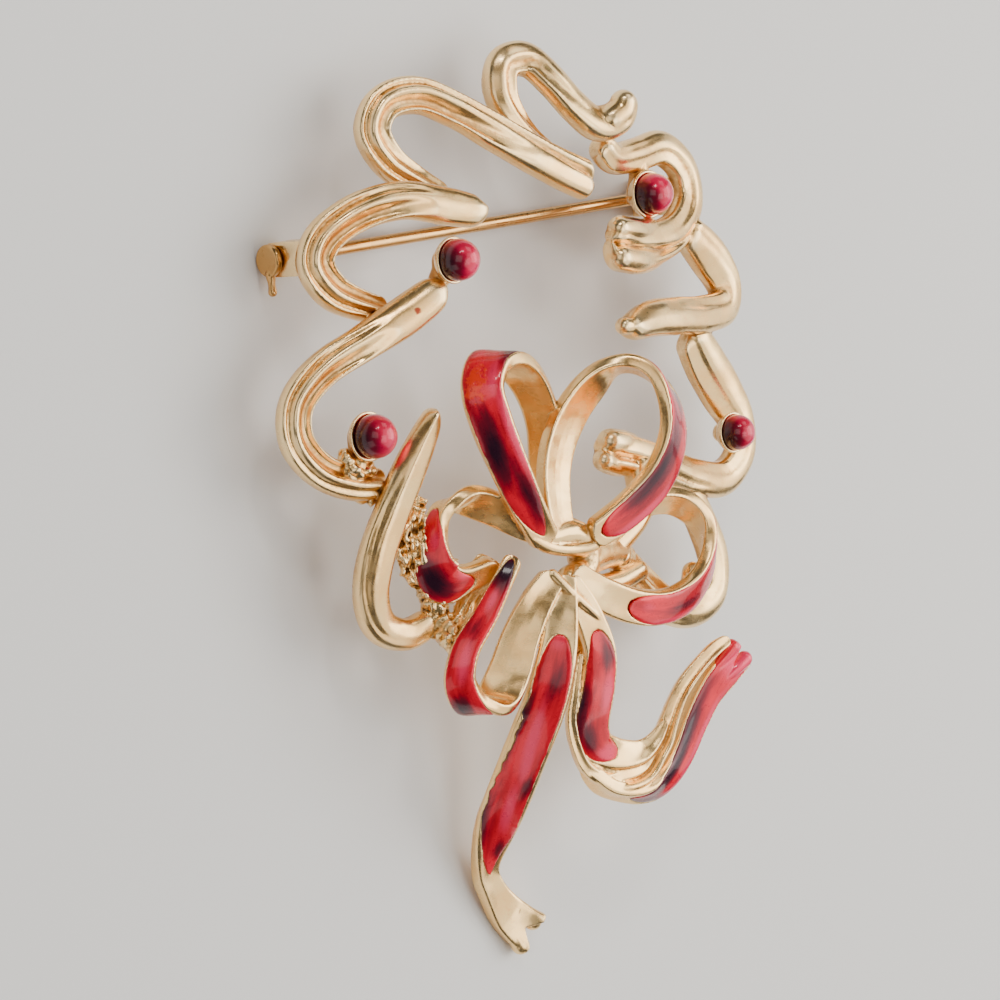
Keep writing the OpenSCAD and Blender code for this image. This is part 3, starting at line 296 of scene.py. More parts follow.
# How far enamel has worn back from one edge: share of the length, the side, the reach and how much of the half width.
CHIPPED = {"tail_long": ((0.45, 1, 0.26, 0.32), (0.85, 1, 0.1, 0.12)),
           "loop_upper_left": ((0.15, 1, 0.1, 0.08),)}
# A red speck on the lower left curl: its place and size.
SPECK = ((-12.26, 4.73, 3.4), 0.22)
# Creases of the foil: the directions that they lie across, and how many there are to a millimetre.
CREASES = (((1.0, 0.3, 0.5), 0.9), ((-0.4, 1.0, 0.3), 1.2), ((0.7, -0.8, 0.9), 1.7), ((0.2, 0.6, -1.0), 2.3))
# Fittings on the back: where the catch and the hinge stand, and how far behind the tables' zero the pin's middle lies.
CATCH_AT = (-17.5, 8.1)
HINGE_AT = (16.2, 13.6)
PIN_BACK = 3.4
WIRE_R = 0.42
WIRE_LEN = 30.0
POINT_LEN = 5.0
EAR_R = 1.1  # of the hinge's ears and of the catch's hook
EAR_W = 0.7
KNUCKLE_W = 1.0
KNUCKLE_R = 0.95
TRUNNION_R = 0.35
RUN_GAP = 0.05  # between parts that turn in each other
CATCH_LEN = 1.9
CATCH_WALL = 0.3
CATCH_SLOT = 2 * WIRE_R + 0.3
ROOT_TOP = 3.2  # how far the ears and the hook rise into the garland
# Edge lengths of the remeshed skins, and how many triangles a large and a small one may have.
VOXEL_GARLAND, VOXEL_BOW, VOXEL_PIN, VOXEL_FINE = 0.075, 0.065, 0.07, 0.05
LARGE, SMALL = 195000, 60000


def unit(v):
    return v / np.linalg.norm(v, axis=-1, keepdims=True)


def circle(count):
    """Even angles round a circle."""
    return np.linspace(0, 2 * math.pi, count, endpoint=False)


def spline(rows, per_row=16):
    """The rows' smooth curve, all columns at once, and each point's row number."""
    rows = np.array(rows, float)
    last = len(rows) - 1
    at = np.linspace(0, last, last * per_row + 1)
    i = np.minimum(at.astype(int), last - 1)
    t = (at - i)[:, None]
    a, b, c, d = (rows[np.clip(i + k, 0, last)] for k in (-1, 0, 1, 2))
    out = 0.5 * (2 * b + (c - a) * t + (2 * a - 5 * b + 4 * c - d) * t**2 + (3 * b - a - 3 * c + d) * t**3)
    return out, at


def even(rows, step, first=0.0, last=math.inf):
    """The smooth curve between two rows, cut into even steps. Adds the row number and the length so far."""
    points, at = spline(rows)
    keep = (at >= first - 1e-9) & (at <= last + 1e-9)
    points, at = points[keep], at[keep]
    run = np.r_[0, np.cumsum(np.linalg.norm(np.diff(points[:, :3], axis=0), axis=1))]
    n = max(4, int(math.ceil(run[-1] / step)))
    s = np.linspace(0, run[-1], n + 1)
    cols = [np.interp(s, run, points[:, k]) for k in range(points.shape[1])]
    return np.stack(cols + [np.interp(s, run, at), s], axis=1)


def axes(rings):
    """The run, face and across directions at each ring, as the part's source works them out."""
    run = unit(np.gradient(rings[:, :3], axis=0))
    face = rings[:, 4:7]
    face = unit(face - (face * run).sum(1, keepdims=True) * run)
    return run, face, np.cross(run, face)


def lay(rings, outline):
    """Points of each ring: outline(i) gives offsets across, towards the face and along the run in millimetres."""
    run, face, across = axes(rings)
    return np.array([rings[i, :3] + sum(d[:, None] * way[i] for d, way in zip(outline(i), (across, face, run)))
                     for i in range(len(rings))])


def tube(grid, hollow=False):
    """Vertices and faces from a grid of rings. A fan covers each end, or the last ring joins the first."""
    n_r, n_p = grid.shape[:2]
    verts = [tuple(p) for ring in grid for p in ring]
    faces = []
    for i in range(n_r if hollow else n_r - 1):
        a, b = i * n_p, (i + 1) % n_r * n_p
        faces += [(a + j, a + (j + 1) % n_p, b + (j + 1) % n_p, b + j) for j in range(n_p)]
    for ring, order in () if hollow else ((0, 1), (n_r - 1, -1)):
        mid = len(verts)
        verts.append(tuple(grid[ring].mean(0)))
        for j in range(n_p):
            a, b = ring * n_p + j, ring * n_p + (j + 1) % n_p
            faces.append((mid, b, a)[::order])
    return verts, faces


def round_ends(rings, start, end):
    """How much of its full size each ring keeps, so that an end is rounded over that length."""
    s = rings[:, -1]
    keep = np.ones(len(s))
    for d, length in ((s, start), (s[-1] - s, end)):
        x = np.clip(d / length, 0.0, 1.0)
        keep *= np.sqrt(np.clip(1 - (1 - x) ** 2, 0.02, 1))
    return keep


def placed(name, data):
    """A new object in the scene."""
    obj = bpy.data.objects.new(name, data)
    bpy.context.scene.collection.objects.link(obj)
    return obj


def build(name, *meshes):
    """One object from closed meshes."""
    verts, faces = [], []
    for more_verts, more_faces in meshes:
        faces += [tuple(v + len(verts) for v in f) for f in more_faces]
        verts += more_verts
    data = bpy.data.meshes.new(name)
    data.from_pydata(verts, [], faces)
    bm = bmesh.new()
    bm.from_mesh(data)
    bmesh.ops.recalc_face_normals(bm, faces=bm.faces)
    bm.to_mesh(data)
    bm.free()
    return placed(name, data)


# A curl's section: how square it is across and through, and in shares of its half width the width of its groove, the
# place and width of its hollow and the place of its keel.
SQUARE_ACROSS, SQUARE_THROUGH = 2.6, 2.4
GROOVE_W = 0.17
HOLLOW_AT, HOLLOW_W = -0.52, 0.34
KEEL_AT = 0.12
# Lengths over which its return is rounded and over which the middle of its tip stands back, in millimetres.
RETURN_ROUND, TIP_REACH = 0.8, 1.6


def curl(rows, groove, hollow, tip, back, keel):
    """A curl: a groove and a hollow along its face, a rounded or ridged tip whose middle can stand back, and a rounded
    return."""
    rings = even([(*row, 1) for row in rows], 0.16)
    share = rings[:, -1] / rings[-1, -1]
    groove, hollow = (np.interp(share, (0.2, 0.45, 1), depths) for depths in (groove, hollow))
    groove_at = np.interp(share, (0, 0.35, 1), (0.12, 0.52, 0.4))
    keel = np.interp(share, (0, 0.25, 0.55), (keel, 0.7 * keel, 0))
    keep = round_ends(rings, tip, RETURN_ROUND)
    near_tip = np.clip(1 - rings[:, -1] / TIP_REACH, 0, 1)
    c, s = np.cos(circle(72)), np.sin(circle(72))
    u = np.sign(c) * np.abs(c) ** (2 / SQUARE_ACROSS)
    v = np.sign(s) * np.abs(s) ** (2 / SQUARE_THROUGH)

    def outline(i):
        drop = groove[i] * np.exp(-(((u - groove_at[i]) / GROOVE_W) ** 2))
        drop += hollow[i] * np.exp(-(((u - HOLLOW_AT) / HOLLOW_W) ** 4))
        drop += keel[i] * np.abs(u - KEEL_AT) ** 0.9 * 0.7
        top = v - drop * np.clip(v, 0, 1)
        width, height = rings[i, 3] / 2 * keep[i], CURL_T / 2 * (0.35 + 0.65 * keep[i])
        along = back * near_tip[i] * (1.4 * np.exp(-((u / 0.4) ** 2)) - 0.4)
        return u * width, top * height, along

    return tube(lay(rings, outline))


def narrowing(at, s, first, last, start, end):
    """How much of its full width the enamel has at each ring: nothing outside its rows, and narrow at both ends."""
    low, high = np.interp((first, last), at, s)
    keep = np.where((s >= low - 1e-6) & (s <= high + 1e-6), 1.0, 0.0)
    for d, length in ((s - low, start), (high - s, end)):
        if length > 0:
            x = np.clip(d / length, 0, 1)
            keep = keep * (1 - (1 - x) ** 2) ** (0.5 if length < 3 else 0.8)
    return keep


def worn(name, share, way):
    """How much of its half width the enamel keeps towards one edge."""
    keep = 1.0
    for at, side, reach, much in CHIPPED.get(name, ()):
        if side == way:
            uneven = 0.8 + 0.8 * noise.noise(Vector((share * 30.0, at, 5)))
            keep -= much * math.exp(-(((share - at) / reach) ** 2)) * uneven
    return keep


# A ribbon's underside, in shares of its half width and its thickness, and the places across its upper face.
UNDER = np.array(((1.0, 0.0), (1.0, -0.3), (0.97, -0.44), (0.9, -0.5), (0.6, -0.46), (0.2, -0.42), (-0.2, -0.42),
                  (-0.6, -0.46), (-0.9, -0.5), (-0.97, -0.44), (-1.0, -0.3), (-1.0, 0.0)))
TOP = np.sin(np.linspace(-math.pi / 2, math.pi / 2, 41))
# How much thicker the long tail is at its end, and over which length.
END_EXTRA, END_REACH = 0.55, 2.5
# The groove of a banded ribbon, in shares of its thickness and half width, and the width from which it starts.
BAND_D, BAND_AT, BAND_W, BAND_FROM = 0.42, 0.28, 0.16, 0.8


def ribbon(rows, span=None, tip=0.4, tail=0.4, band=False, name=""):
    """A ribbon with rounded edges: plain, with a channel for enamel that narrows at its ends, or grooved as a band."""
    rings = even(rows, 0.12)
    at, s = rings[:, -2], rings[:, -1]
    keep = round_ends(rings, tip, tail)
    thick = RIBBON_T * (1 + END_EXTRA * np.clip(1 - (s[-1] - s) / END_REACH, 0, 1) * (name == "tail_long"))
    channel, start, end = np.zeros(len(rings)), s[0], s[-1]
    if span:
        channel = narrowing(at, s, *span)
        start, end = np.interp(span[:2], at, s)
    face = 0.5 * (1 - np.abs(TOP) ** 14) ** 0.5 - 0.07 * (1 - TOP**2) ** 2  # rounded edges and a slight dish

    def outline(i):
        share = (s[i] - start) / (end - start)
        edge = np.where(TOP > 0, worn(name, share, 1), worn(name, share, -1))
        inside = (CHANNEL_EDGE * channel[i] * edge - np.abs(TOP)) / CHANNEL_SLOPE
        v = face - CHANNEL_D / RIBBON_T * np.clip(inside, 0, 1) * min(1, 5 * channel[i])
        if band:
            v = v - BAND_D * np.clip(rings[i, 3] - BAND_FROM, 0, 1) * np.exp(-(((TOP - BAND_AT) / BAND_W) ** 2))
        u, v = np.r_[TOP, UNDER[:, 0]], np.r_[v, UNDER[:, 1]]
        return u * rings[i, 3] / 2 * keep[i], v * thick[i], np.zeros(len(u))

    return tube(lay(rings, outline))


def foil(rows, folds, depth):
    """A thin sheet with rounded edges and, along its run, that many uneven folds of that depth."""
    rings = even(rows, 0.12)
    keep = round_ends(rings, 0.5, 0.5)
    u, v = np.cos(circle(90)), np.sin(circle(90))

    def outline(i):
        wander = [noise.noise(Vector((k * 2.6, rings[i, -1] * 0.35, rows[0][0]))) for k in u]
        fold = 2 * np.abs((folds * u + 1.6 * np.array(wander)) % 1 - 0.5)
        lift = 0.26 * np.sign(v) * np.abs(v) ** 0.5 - depth * fold * (v > 0.05)
        return u * rings[i, 3] / 2 * keep[i], lift, 0 * u

    return tube(lay(rings, outline))


def notched(mesh, rows, notch):
    """The ribbon's mesh with a wedge taken out of its end."""
    rings = np.array(rows[-2:], float)
    run, face, across = (a[-1] for a in axes(rings))
    at, width = rings[-1, :3], rings[-1, 3]
    back = at - run * notch[0] * width
    ahead, aside = run * 1.5 * width, across * (0.75 * width * notch[1] / notch[0])
    wedge = [p + face * h for h in (-1.5, 1.5) for p in (back, back + ahead + aside, back + ahead - aside)]
    sides = [(0, 1, 2), (3, 5, 4), (0, 3, 4, 1), (1, 4, 5, 2), (2, 5, 3, 0)]
    tool = build("scratch", ([tuple(p) for p in wedge], sides))
    body = build("scratch", mesh)
    apply(body, BOOLEAN={"operation": "DIFFERENCE", "solver": "EXACT", "object": tool})
    out = [tuple(v.co) for v in body.data.vertices], [tuple(p.vertices) for p in body.data.polygons]
    for obj in (tool, body):
        data = obj.data
        bpy.data.objects.remove(obj)
        bpy.data.meshes.remove(data)
    return out


def rod(rows, sides=28, cap=5):
    """A round bar through rows of x, y, z, radius, with round ends of that many rings."""
    rows = np.array(rows, float)
    full = np.c_[rows[:, :3], 2 * rows[:, 3], np.tile((0.13, 0.29, 0.95), (len(rows), 1))]
    rings = even(full, 0.15)
    angle = circle(sides)
    run, face, across = axes(rings)

    def ring(i, size, shift):
        around = across[i] * np.cos(angle)[:, None] + face[i] * np.sin(angle)[:, None]
        return rings[i, :3] + (around * size + run[i] * shift) * rings[i, 3] / 2

    bends = [math.radians(90 * k / cap) for k in range(1, cap)]
    last = len(rings) - 1
    grid = [ring(0, math.cos(b), -math.sin(b)) for b in bends[::-1]]
    grid += [ring(i, 1.0, 0.0) for i in range(last + 1)]
    grid += [ring(last, math.cos(b), math.sin(b)) for b in bends]
    return tube(np.array(grid))


def turned(profile, at, axis, sides=48, hollow=False):
    """A profile of radius and height turned about an axis through a point. A hollow one's profile closes on itself."""
    axis = unit(np.array(axis, float))
    x = unit(np.cross(axis, (0.3, 1.0, 0.2)))
    y = np.cross(axis, x)
    angle = circle(sides)
    around = x * np.cos(angle)[:, None] + y * np.sin(angle)[:, None]
    grid = np.array([np.array(at) + axis * h + around * max(r, 0.01) for r, h in profile])
    return tube(grid, hollow)


def drum(half, *corners):
    """A turned profile that is the same at both ends. Each corner is a radius and how far in from the end it lies."""
    end = [(r, d - half) for r, d in ((0.0, 0.0), *corners)]
    return end + [(r, -h) for r, h in end[::-1]]


def vectors(items, key):
    out = np.empty(len(items) * 3)
    items.foreach_get(key, out)
    return out.reshape(-1, 3)


def coords(obj):
    return vectors(obj.data.vertices, "co")


def normals(obj):
    return vectors(obj.data.vertex_normals, "vector")


def put(obj, co):
    """Moves the object's vertices to new places."""
    obj.data.vertices.foreach_set("co", co.ravel())
    obj.data.update()


def mark(obj, name, values):
    """Stores a number for each vertex, which a material can read."""
    attribute = obj.data.attributes.new(name, "FLOAT", "POINT")
    attribute.data.foreach_set("value", values.astype(np.float32))


def apply(obj, **modifiers):
    """Applies modifiers, each with its settings."""
    for kind, values in modifiers.items():
        m = obj.modifiers.new(kind, kind)
        for key, value in values.items():
            setattr(m, key, value)
    data = bpy.data.meshes.new_from_object(obj.evaluated_get(bpy.context.evaluated_depsgraph_get()))
    old = obj.data
    obj.modifiers.clear()
    obj.data = data
    bpy.data.meshes.remove(old)


def fuse(obj, voxel, smooth, limit):
    """One skin over all the closed shells of the object, smoothed, with at most that many triangles."""
    apply(obj, REMESH={"mode": "VOXEL", "voxel_size": voxel}, SMOOTH={"factor": 0.5, "iterations": smooth})
    count = sum(len(p.vertices) - 2 for p in obj.data.polygons)
    if count > limit:
        apply(obj, DECIMATE={"ratio": limit / count})


def crumple(obj, chains, height, edge=0.5):
    """Folds the skin near some chains of lumps into creased facets, as in crumpled foil, up to an edge's width away."""
    co = coords(obj)
    near = np.zeros(len(co))
    for chain in chains:
        for x, y, z, r in even([(*row, *row[:3]) for row in chain], 0.2)[:, :4]:
            d = np.linalg.norm(co - (x, y, z), axis=1)
            near = np.maximum(near, np.clip((r + edge - d) / edge, 0, 1))
    hit = np.nonzero(near)[0]
    lift = np.zeros(len(hit))
    for way, pace in CREASES:
        wander = np.array([noise.noise(Vector(p * 0.7) + Vector((pace * 9, 0, 0))) for p in co[hit]])
        phase = (co[hit] @ unit(np.array(way))) * pace + 1.3 * wander
        lift += (4 * np.abs(phase % 1 - 0.5) - 1) / pace
    co[hit] += normals(obj)[hit] * (near[hit] * height * lift)[:, None]
    put(obj, co)


def wobble(obj, height, scale):
    """Makes the skin a little uneven, as hand-polished casting is."""
    co = coords(obj)
    lift = np.array([noise.noise(Vector(p * scale)) + 0.4 * noise.noise(Vector(p * scale * 2.7)) for p in co])
    put(obj, co + normals(obj) * (height * lift)[:, None])


def relief(obj, rounds=14, wide=80, wall=0.0):
    """Stores how far each vertex lies in a small and in a wide hollow, in millimetres, which that many rounds of
    smoothing find and the gold's tarnish and painted shade follow. Walls that look down can count as a hollow of that
    depth, which paints shade on them."""
    data = obj.data
    co = coords(obj)
    edges = np.empty(len(data.edges) * 2, dtype=np.int64)
    data.edges.foreach_get("vertices", edges)
    a, b = edges.reshape(-1, 2).T
    count = np.bincount(a, minlength=len(co)) + np.bincount(b, minlength=len(co))
    soft = co.copy()
    normal = normals(obj)
    for done in range(wide + 1):
        if done == rounds:
            mark(obj, "hollow", ((soft - co) * normal).sum(1))
        total = np.stack([np.bincount(a, soft[b, k], len(co)) + np.bincount(b, soft[a, k], len(co))
                          for k in range(3)], 1)
        soft = 0.5 * soft + 0.5 * total / np.maximum(count, 1)[:, None]
    # The wide hollow, plus painted shade on walls that look down.
    mark(obj, "recess_and_down_shade", ((soft - co) * normal).sum(1) + wall * np.clip((0.35 - normal[:, 2]) / 0.8, 0, 1))
    place, size = SPECK
    mark(obj, "speck", np.clip(1.6 - np.linalg.norm(co - place, axis=1) / size, 0, 1))


def dress(obj, material, slot, *nodes):
    """Moves a finished piece from the tables' millimetres to metres in the row frame, and gives it its finish."""
    obj.data.polygons.foreach_set("use_smooth", [True] * len(obj.data.polygons))
    put(obj, (coords(obj) + CENTRE) * MM)
    obj.data.materials.clear()
    obj.data.materials.append(material)
    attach(obj, "root")
    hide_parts(*nodes)


class Nodes:
    """Short calls for building a material's nodes."""

    def __init__(self, name):
        self.material = bpy.data.materials.new(name)
        self.material.use_nodes = True
        self.tree = self.material.node_tree
        self.shader = self.tree.nodes["Principled BSDF"]
        self.place = self.node("TexCoord").outputs["Object"]

    def link(self, value, socket):
        if isinstance(value, bpy.types.NodeSocket):
            self.tree.links.new(value, socket)
        else:
            socket.default_value = value

    def node(self, kind, **inputs):
        n = self.tree.nodes.new("ShaderNode" + kind)
        for key, value in inputs.items():
            self.link(value, n.inputs[key.replace("_", " ")])
        return n

    def noise(self, scale, detail=3.0, rough=0.55, stretch=None):
        place = self.place
        if stretch:
            place = self.node("Mapping", Vector=place, Scale=stretch).outputs["Vector"]
        return self.node("TexNoise", Vector=place, Scale=scale / MM, Detail=detail, Roughness=rough).outputs["Fac"]

    def math(self, kind, *values):
        n = self.node("Math")
        n.operation = kind
        for socket, value in zip(n.inputs, values):
            self.link(value, socket)
        return n.outputs[0]

    def add(self, a, b):
        return self.math("ADD", a, b)

    def minus(self, a, b):
        return self.math("SUBTRACT", a, b)

    def times(self, a, b):
        return self.math("MULTIPLY", a, b)

    def span(self, value, low, high, out_low=0.0, out_high=1.0):
        n = self.node("MapRange", Value=value, From_Min=low, From_Max=high, To_Min=out_low, To_Max=out_high)
        n.interpolation_type = "SMOOTHSTEP"
        return n.outputs["Result"]

    def mix(self, factor, a, b):
        n = self.node("Mix")
        n.data_type = "RGBA"
        colours = [s for s in n.inputs if s.type == "RGBA"]
        self.link(factor, n.inputs["Factor"])
        for socket, value in zip(colours, (a, b)):
            self.link(value if isinstance(value, bpy.types.NodeSocket) else (*value, 1.0), socket)
        return [s for s in n.outputs if s.type == "RGBA"][0]

    def bump(self, height, distance, strength, **over):
        """A bump on the plain surface, or over another one's Normal."""
        return self.node("Bump", Height=height, Distance=distance * MM, Strength=strength, **over).outputs["Normal"]

    def attribute(self, name):
        n = self.node("Attribute")
        n.attribute_name = name
        return n.outputs["Fac"]

    def pair(self, *names):
        """A place in millimetres from two attributes, as metres."""
        n = self.node("CombineXYZ")
        for socket, name in zip(n.inputs, names):
            self.link(self.times(self.attribute(name), MM), socket)
        return n.outputs[0]

    def shade(self, reach):
        """How open the surface is within that reach."""
        n = self.node("AmbientOcclusion", Distance=reach * MM)
        n.samples = 8
        return n.outputs["AO"]

    def set(self, **values):
        for key, value in values.items():
            self.link(value, self.shader.inputs[key.replace("_", " ")])
        return self.material


def gold(name, age_and_shade=0.0):
    """Gilt with brown and dark tarnish and painted shade in its hollows, painted shade on walls that look down, a
    warmer painted shade where it is occluded, and raised ridges paler as worn polish and a painted highlight. Age makes
    it browner; the pin's dull gilt also uses it as painted shade.
    """
    n = Nodes(name)
    pale, warm, shaded, polish_and_highlight = (1.00, 0.68, 0.3), (0.98, 0.6, 0.23), (0.66, 0.38, 0.14), (1.0, 0.8, 0.48)
    brown, dark, red = (0.44, 0.19, 0.045), (0.05, 0.018, 0.006), (0.3, 0.01, 0.01)
    cloud = n.noise(0.3, 4)
    grain = n.noise(3.6, 4, 0.65)
    smear = n.noise(0.9, 3, 0.5, (0.6, 1.2, 1.0))
    hollow = n.attribute("hollow")
    base = n.mix(n.span(cloud, 0.35, 0.65), pale, warm)
    base = n.mix(age_and_shade, base, brown)
    # Painted shade: a warmer, darker tone where the surface is occluded within 2.2 mm.
    in_shade = n.span(n.shade(2.2), 0.1, 0.75, 1.0, 0.0)
    base = n.mix(n.times(in_shade, 0.3), base, shaded)
    ground = n.minus(grain, 0.5)
    uneven = n.add(ground, n.minus(smear, 0.5))
    # Tarnish and painted shade in wide hollows and on walls that look down.
    wide = n.span(n.add(n.attribute("recess_and_down_shade"), n.times(uneven, 0.12)), 0.03, 0.16)
    base = n.mix(n.times(wide, 0.75), base, brown)
    # Tarnish and painted shade in small hollows and grooves, first brown and then dark.
    pit_and_shade = n.add(hollow, n.times(ground, 0.07))
    base = n.mix(n.times(n.span(pit_and_shade, 0.012, 0.06), 0.7), base, brown)
    base = n.mix(n.times(n.span(pit_and_shade, 0.035, 0.09), 0.85), base, dark)
    # Raised ridges paler: worn polish and a painted highlight.
    base = n.mix(n.times(n.span(hollow, -0.012, -0.05), 0.5), base, polish_and_highlight)
    base = n.mix(n.span(n.attribute("speck"), 0.3, 0.7, 0.0, 0.9), base, red)
    rough = n.add(n.span(smear, 0.35, 0.65, 0.2, 0.3), n.times(n.add(in_shade, wide), 0.1))
    normal = n.bump(grain, 0.008, 0.5)
    normal = n.bump(n.noise(0.8, 2), 0.03, 0.15, Normal=normal)
    return n.set(Base_Color=base, Metallic=1.0, Roughness=rough, Normal=normal)


def enamel(name, bright, deep, highlight_pink, maroon, darkest_shade, streaks=1.0):
    """Clear enamel: streaks run along the ribbon, in the place that the attributes run and side give. Further
    attributes place painted dark reflection and shade, a painted pink highlight and crazed wear.
    """
    n = Nodes(name)
    orange = (1.0, 0.045, 0.002)
    fine = n.noise(2.6, 4, 0.65)
    n.place = n.pair("run", "side")
    streak = n.times(n.minus(n.noise(0.8, 4, 0.6, (0.3, 1.8, 1.0)), 0.5), streaks)
    cloud = n.minus(n.noise(0.5, 3, 0.5, (0.6, 1.2, 1.0)), 0.5)
    base = n.mix(n.span(n.add(streak, cloud), -0.25, 0.25), bright, deep)
    # Painted pink highlight, where the attribute puts it, broken by the streaks.
    painted_highlight = n.minus(n.attribute("painted_highlight"), streak)
    base = n.mix(n.span(painted_highlight, 0.2, 1.0, 0.0, 0.85), base, highlight_pink)
    # Painted dark reflection and shade: maroon first, then the darkest shade.
    shade_and_dark_reflection = n.add(n.attribute("shade_and_dark_reflection"), n.add(n.times(streak, 0.9), n.times(cloud, 0.6)))
    base = n.mix(n.span(shade_and_dark_reflection, 0.15, 0.75, 0.0, 0.92), base, maroon)
    base = n.mix(n.span(shade_and_dark_reflection, 0.65, 1.2, 0.0, 0.95), base, darkest_shade)
    craze = n.span(n.add(n.attribute("worn"), n.times(n.minus(fine, 0.5), 2.4)), 0.6, 0.95)
    base = n.mix(n.times(craze, 0.85), base, orange)
    speck = n.span(n.noise(1.1, 2), 0.77, 0.82)
    # Maroon specks of the enamel's own colour.
    base = n.mix(n.times(speck, 0.6), base, maroon)
    height = n.add(n.noise(0.6, 2, 0.5, (0.4, 1.0, 1.0)), n.times(craze, 0.4))
    normal = n.bump(height, 0.05, 0.4)
    return n.set(Base_Color=base, Metallic=0.2, Roughness=n.span(fine, 0.3, 0.7, 0.25, 0.38), Normal=normal,
                 Specular_IOR_Level=0.15, Coat_Weight=1.0, Coat_IOR=1.42, Coat_Roughness=0.1, Coat_Normal=normal)


# Camera: the direction from the brooch to it, how far away it is, how far right of and above the garland's centre it
# aims, and its lens.
CAMERA_FROM = Vector((-1.0, 0.0, 1.0)).normalized()
CAMERA_UP = Vector((0.0, 1.0, 0.0))
CAMERA_RIGHT = CAMERA_UP.cross(CAMERA_FROM)
CAMERA_AWAY = 300.0
AIM_RIGHT, AIM_UP = -1.05, -7.21
LENS = 164.7
aim = Vector(CENTRE) + CAMERA_RIGHT * AIM_RIGHT + CAMERA_UP * AIM_UP
camera_data = bpy.data.cameras.new("camera")
camera_data.sensor_width = 36.0
camera_data.lens = LENS
camera_data.clip_start = 0.01
camera_data.clip_end = 10.0
camera = placed("camera", camera_data)
turn = Matrix((CAMERA_RIGHT, CAMERA_UP, CAMERA_FROM)).transposed().to_4x4()
camera.matrix_world = Matrix.Translation((aim + CAMERA_FROM * CAMERA_AWAY) * MM) @ turn
bpy.context.scene.camera = camera

FLOOR_REACH = 3.0  # metres from the middle to each side
floor_data = bpy.data.meshes.new("floor")
corners = [(x * FLOOR_REACH, y * FLOOR_REACH, 0) for x, y in ((-1, -1), (1, -1), (1, 1), (-1, 1))]
floor_data.from_pydata(corners, [], [(0, 1, 2, 3)])
floor_data.materials.append(Nodes("floor_paper").set(Base_Color=(0.86, 0.85, 0.83, 1.0), Roughness=0.8))
floor = placed("floor", floor_data)

WARM, WHITE, AMBER = (1.0, 0.97, 0.92), (1.0, 0.97, 0.93), (1.0, 0.96, 0.92)
LIGHTS = (
    # name, place and size in millimetres, power, colour
    ("dome", (190, -30, 340), 600, 1.6, WARM),
    ("key", (240, 60, 300), 260, 0.62, WARM),
    ("over", (10, -70, 400), 200, 0.24, WHITE),
    ("high", (120, 320, 240), 160, 0.16, WHITE),
    ("camera_side", (-300, 40, 300), 240, 0.24, WHITE),
    ("side", (370, 80, 175), 330, 0.5, WHITE),
    ("low", (-280, -250, 110), 200, 0.12, WHITE),
    ("glint", (-120, 280, 280), 50, 0.2, WHITE),
    ("front", (-230, 300, 300), 50, 0.09, AMBER),
)
for light_name, place, size, power, colour in LIGHTS:
    data = bpy.data.lights.new(light_name, "AREA")
    data.size = size * MM
    data.energy = power
    data.color = colour
    lamp = placed(light_name, data)
    lamp.location = Vector(place) * MM
    lamp.rotation_euler = (-lamp.location).to_track_quat("-Z", "Y").to_euler()
world = bpy.data.worlds.new("studio")
world.use_nodes = True
background = world.node_tree.nodes["Background"]
background.inputs["Color"].default_value = (0.85, 0.88, 0.92, 1.0)
background.inputs["Strength"].default_value = 0.12
bpy.context.scene.world = world

GOLD = gold("polished_gilt")
# Browner gilt for the pin and the lever: age, and painted shade for the pin hidden under the brooch.
DULL_SHADED_GOLD = gold("dull_shaded_gilt", 0.55)
# Each enamel's colours: bright, deep, a painted pink highlight, maroon and the darkest painted shade.
BOW_ENAMEL = enamel("bow_enamel", (0.95, 0.003, 0.032), (0.6, 0.001, 0.016), (1.0, 0.035, 0.13),
                    (0.11, 0.001, 0.014), (0.016, 0.001, 0.012))
BERRY_ENAMEL = enamel("berry_enamel", (0.9, 0.003, 0.085), (0.52, 0.001, 0.035), (1.0, 0.05, 0.2),
                      (0.12, 0.001, 0.014), (0.03, 0.001, 0.01), streaks=0.2)


# Garland
def cup(x, y, z, rim, radius, opened):
    """A berry's cup: a bowl round its lower part, with a rounded rim."""
    outer, inner = radius + CUP_WALL + opened / 2, radius + CUP_GAP + opened / 4
    top = math.asin(rim / outer)
    bends = np.linspace(-math.pi / 2, top, 14)
    bowl = [(outer * math.cos(b), outer * math.sin(b)) for b in bends]
    bowl += [(outer * math.cos(top) - CUP_WALL * 0.2, rim + 0.1), (inner * math.cos(top) + 0.05, rim + 0.08)]
    bowl += [(inner * math.cos(b), inner * math.sin(b)) for b in bends[::-1]]
    return turned(bowl, (x, y, z), (0, 0, 1))


parts = [curl(*row) for row in CURLS] + [rod(chain) for chain in LUMPS]
for x, y, z, fx, fy, fz, rim, radius, opened in BERRIES.values():
    parts.append(cup(x, y, z, rim, radius, opened))
    parts.append(rod(((x, y, z - radius - 0.1, 0.75), ((x + fx) / 2, (y + fy) / 2, (z - radius + fz) / 2, 0.72),
                      (fx, fy, fz - 0.2, 0.7))))
garland = build("garland", *parts)
fuse(garland, VOXEL_GARLAND, 4, LARGE)
wobble(garland, 0.03, 0.5)
# Walls that look down get painted shade.
relief(garland, wall=0.24)
dress(garland, GOLD, "gilt_metal", "gilt_casting")

# Bow, in two skins that meet inside the knot
FOILS = (FOIL_TOP, FOIL_LOW)
ROUGH = ROUGH_WEBS + tuple(tuple((*row[:3], row[3] / 2) for row in rows) for rows in FOILS)


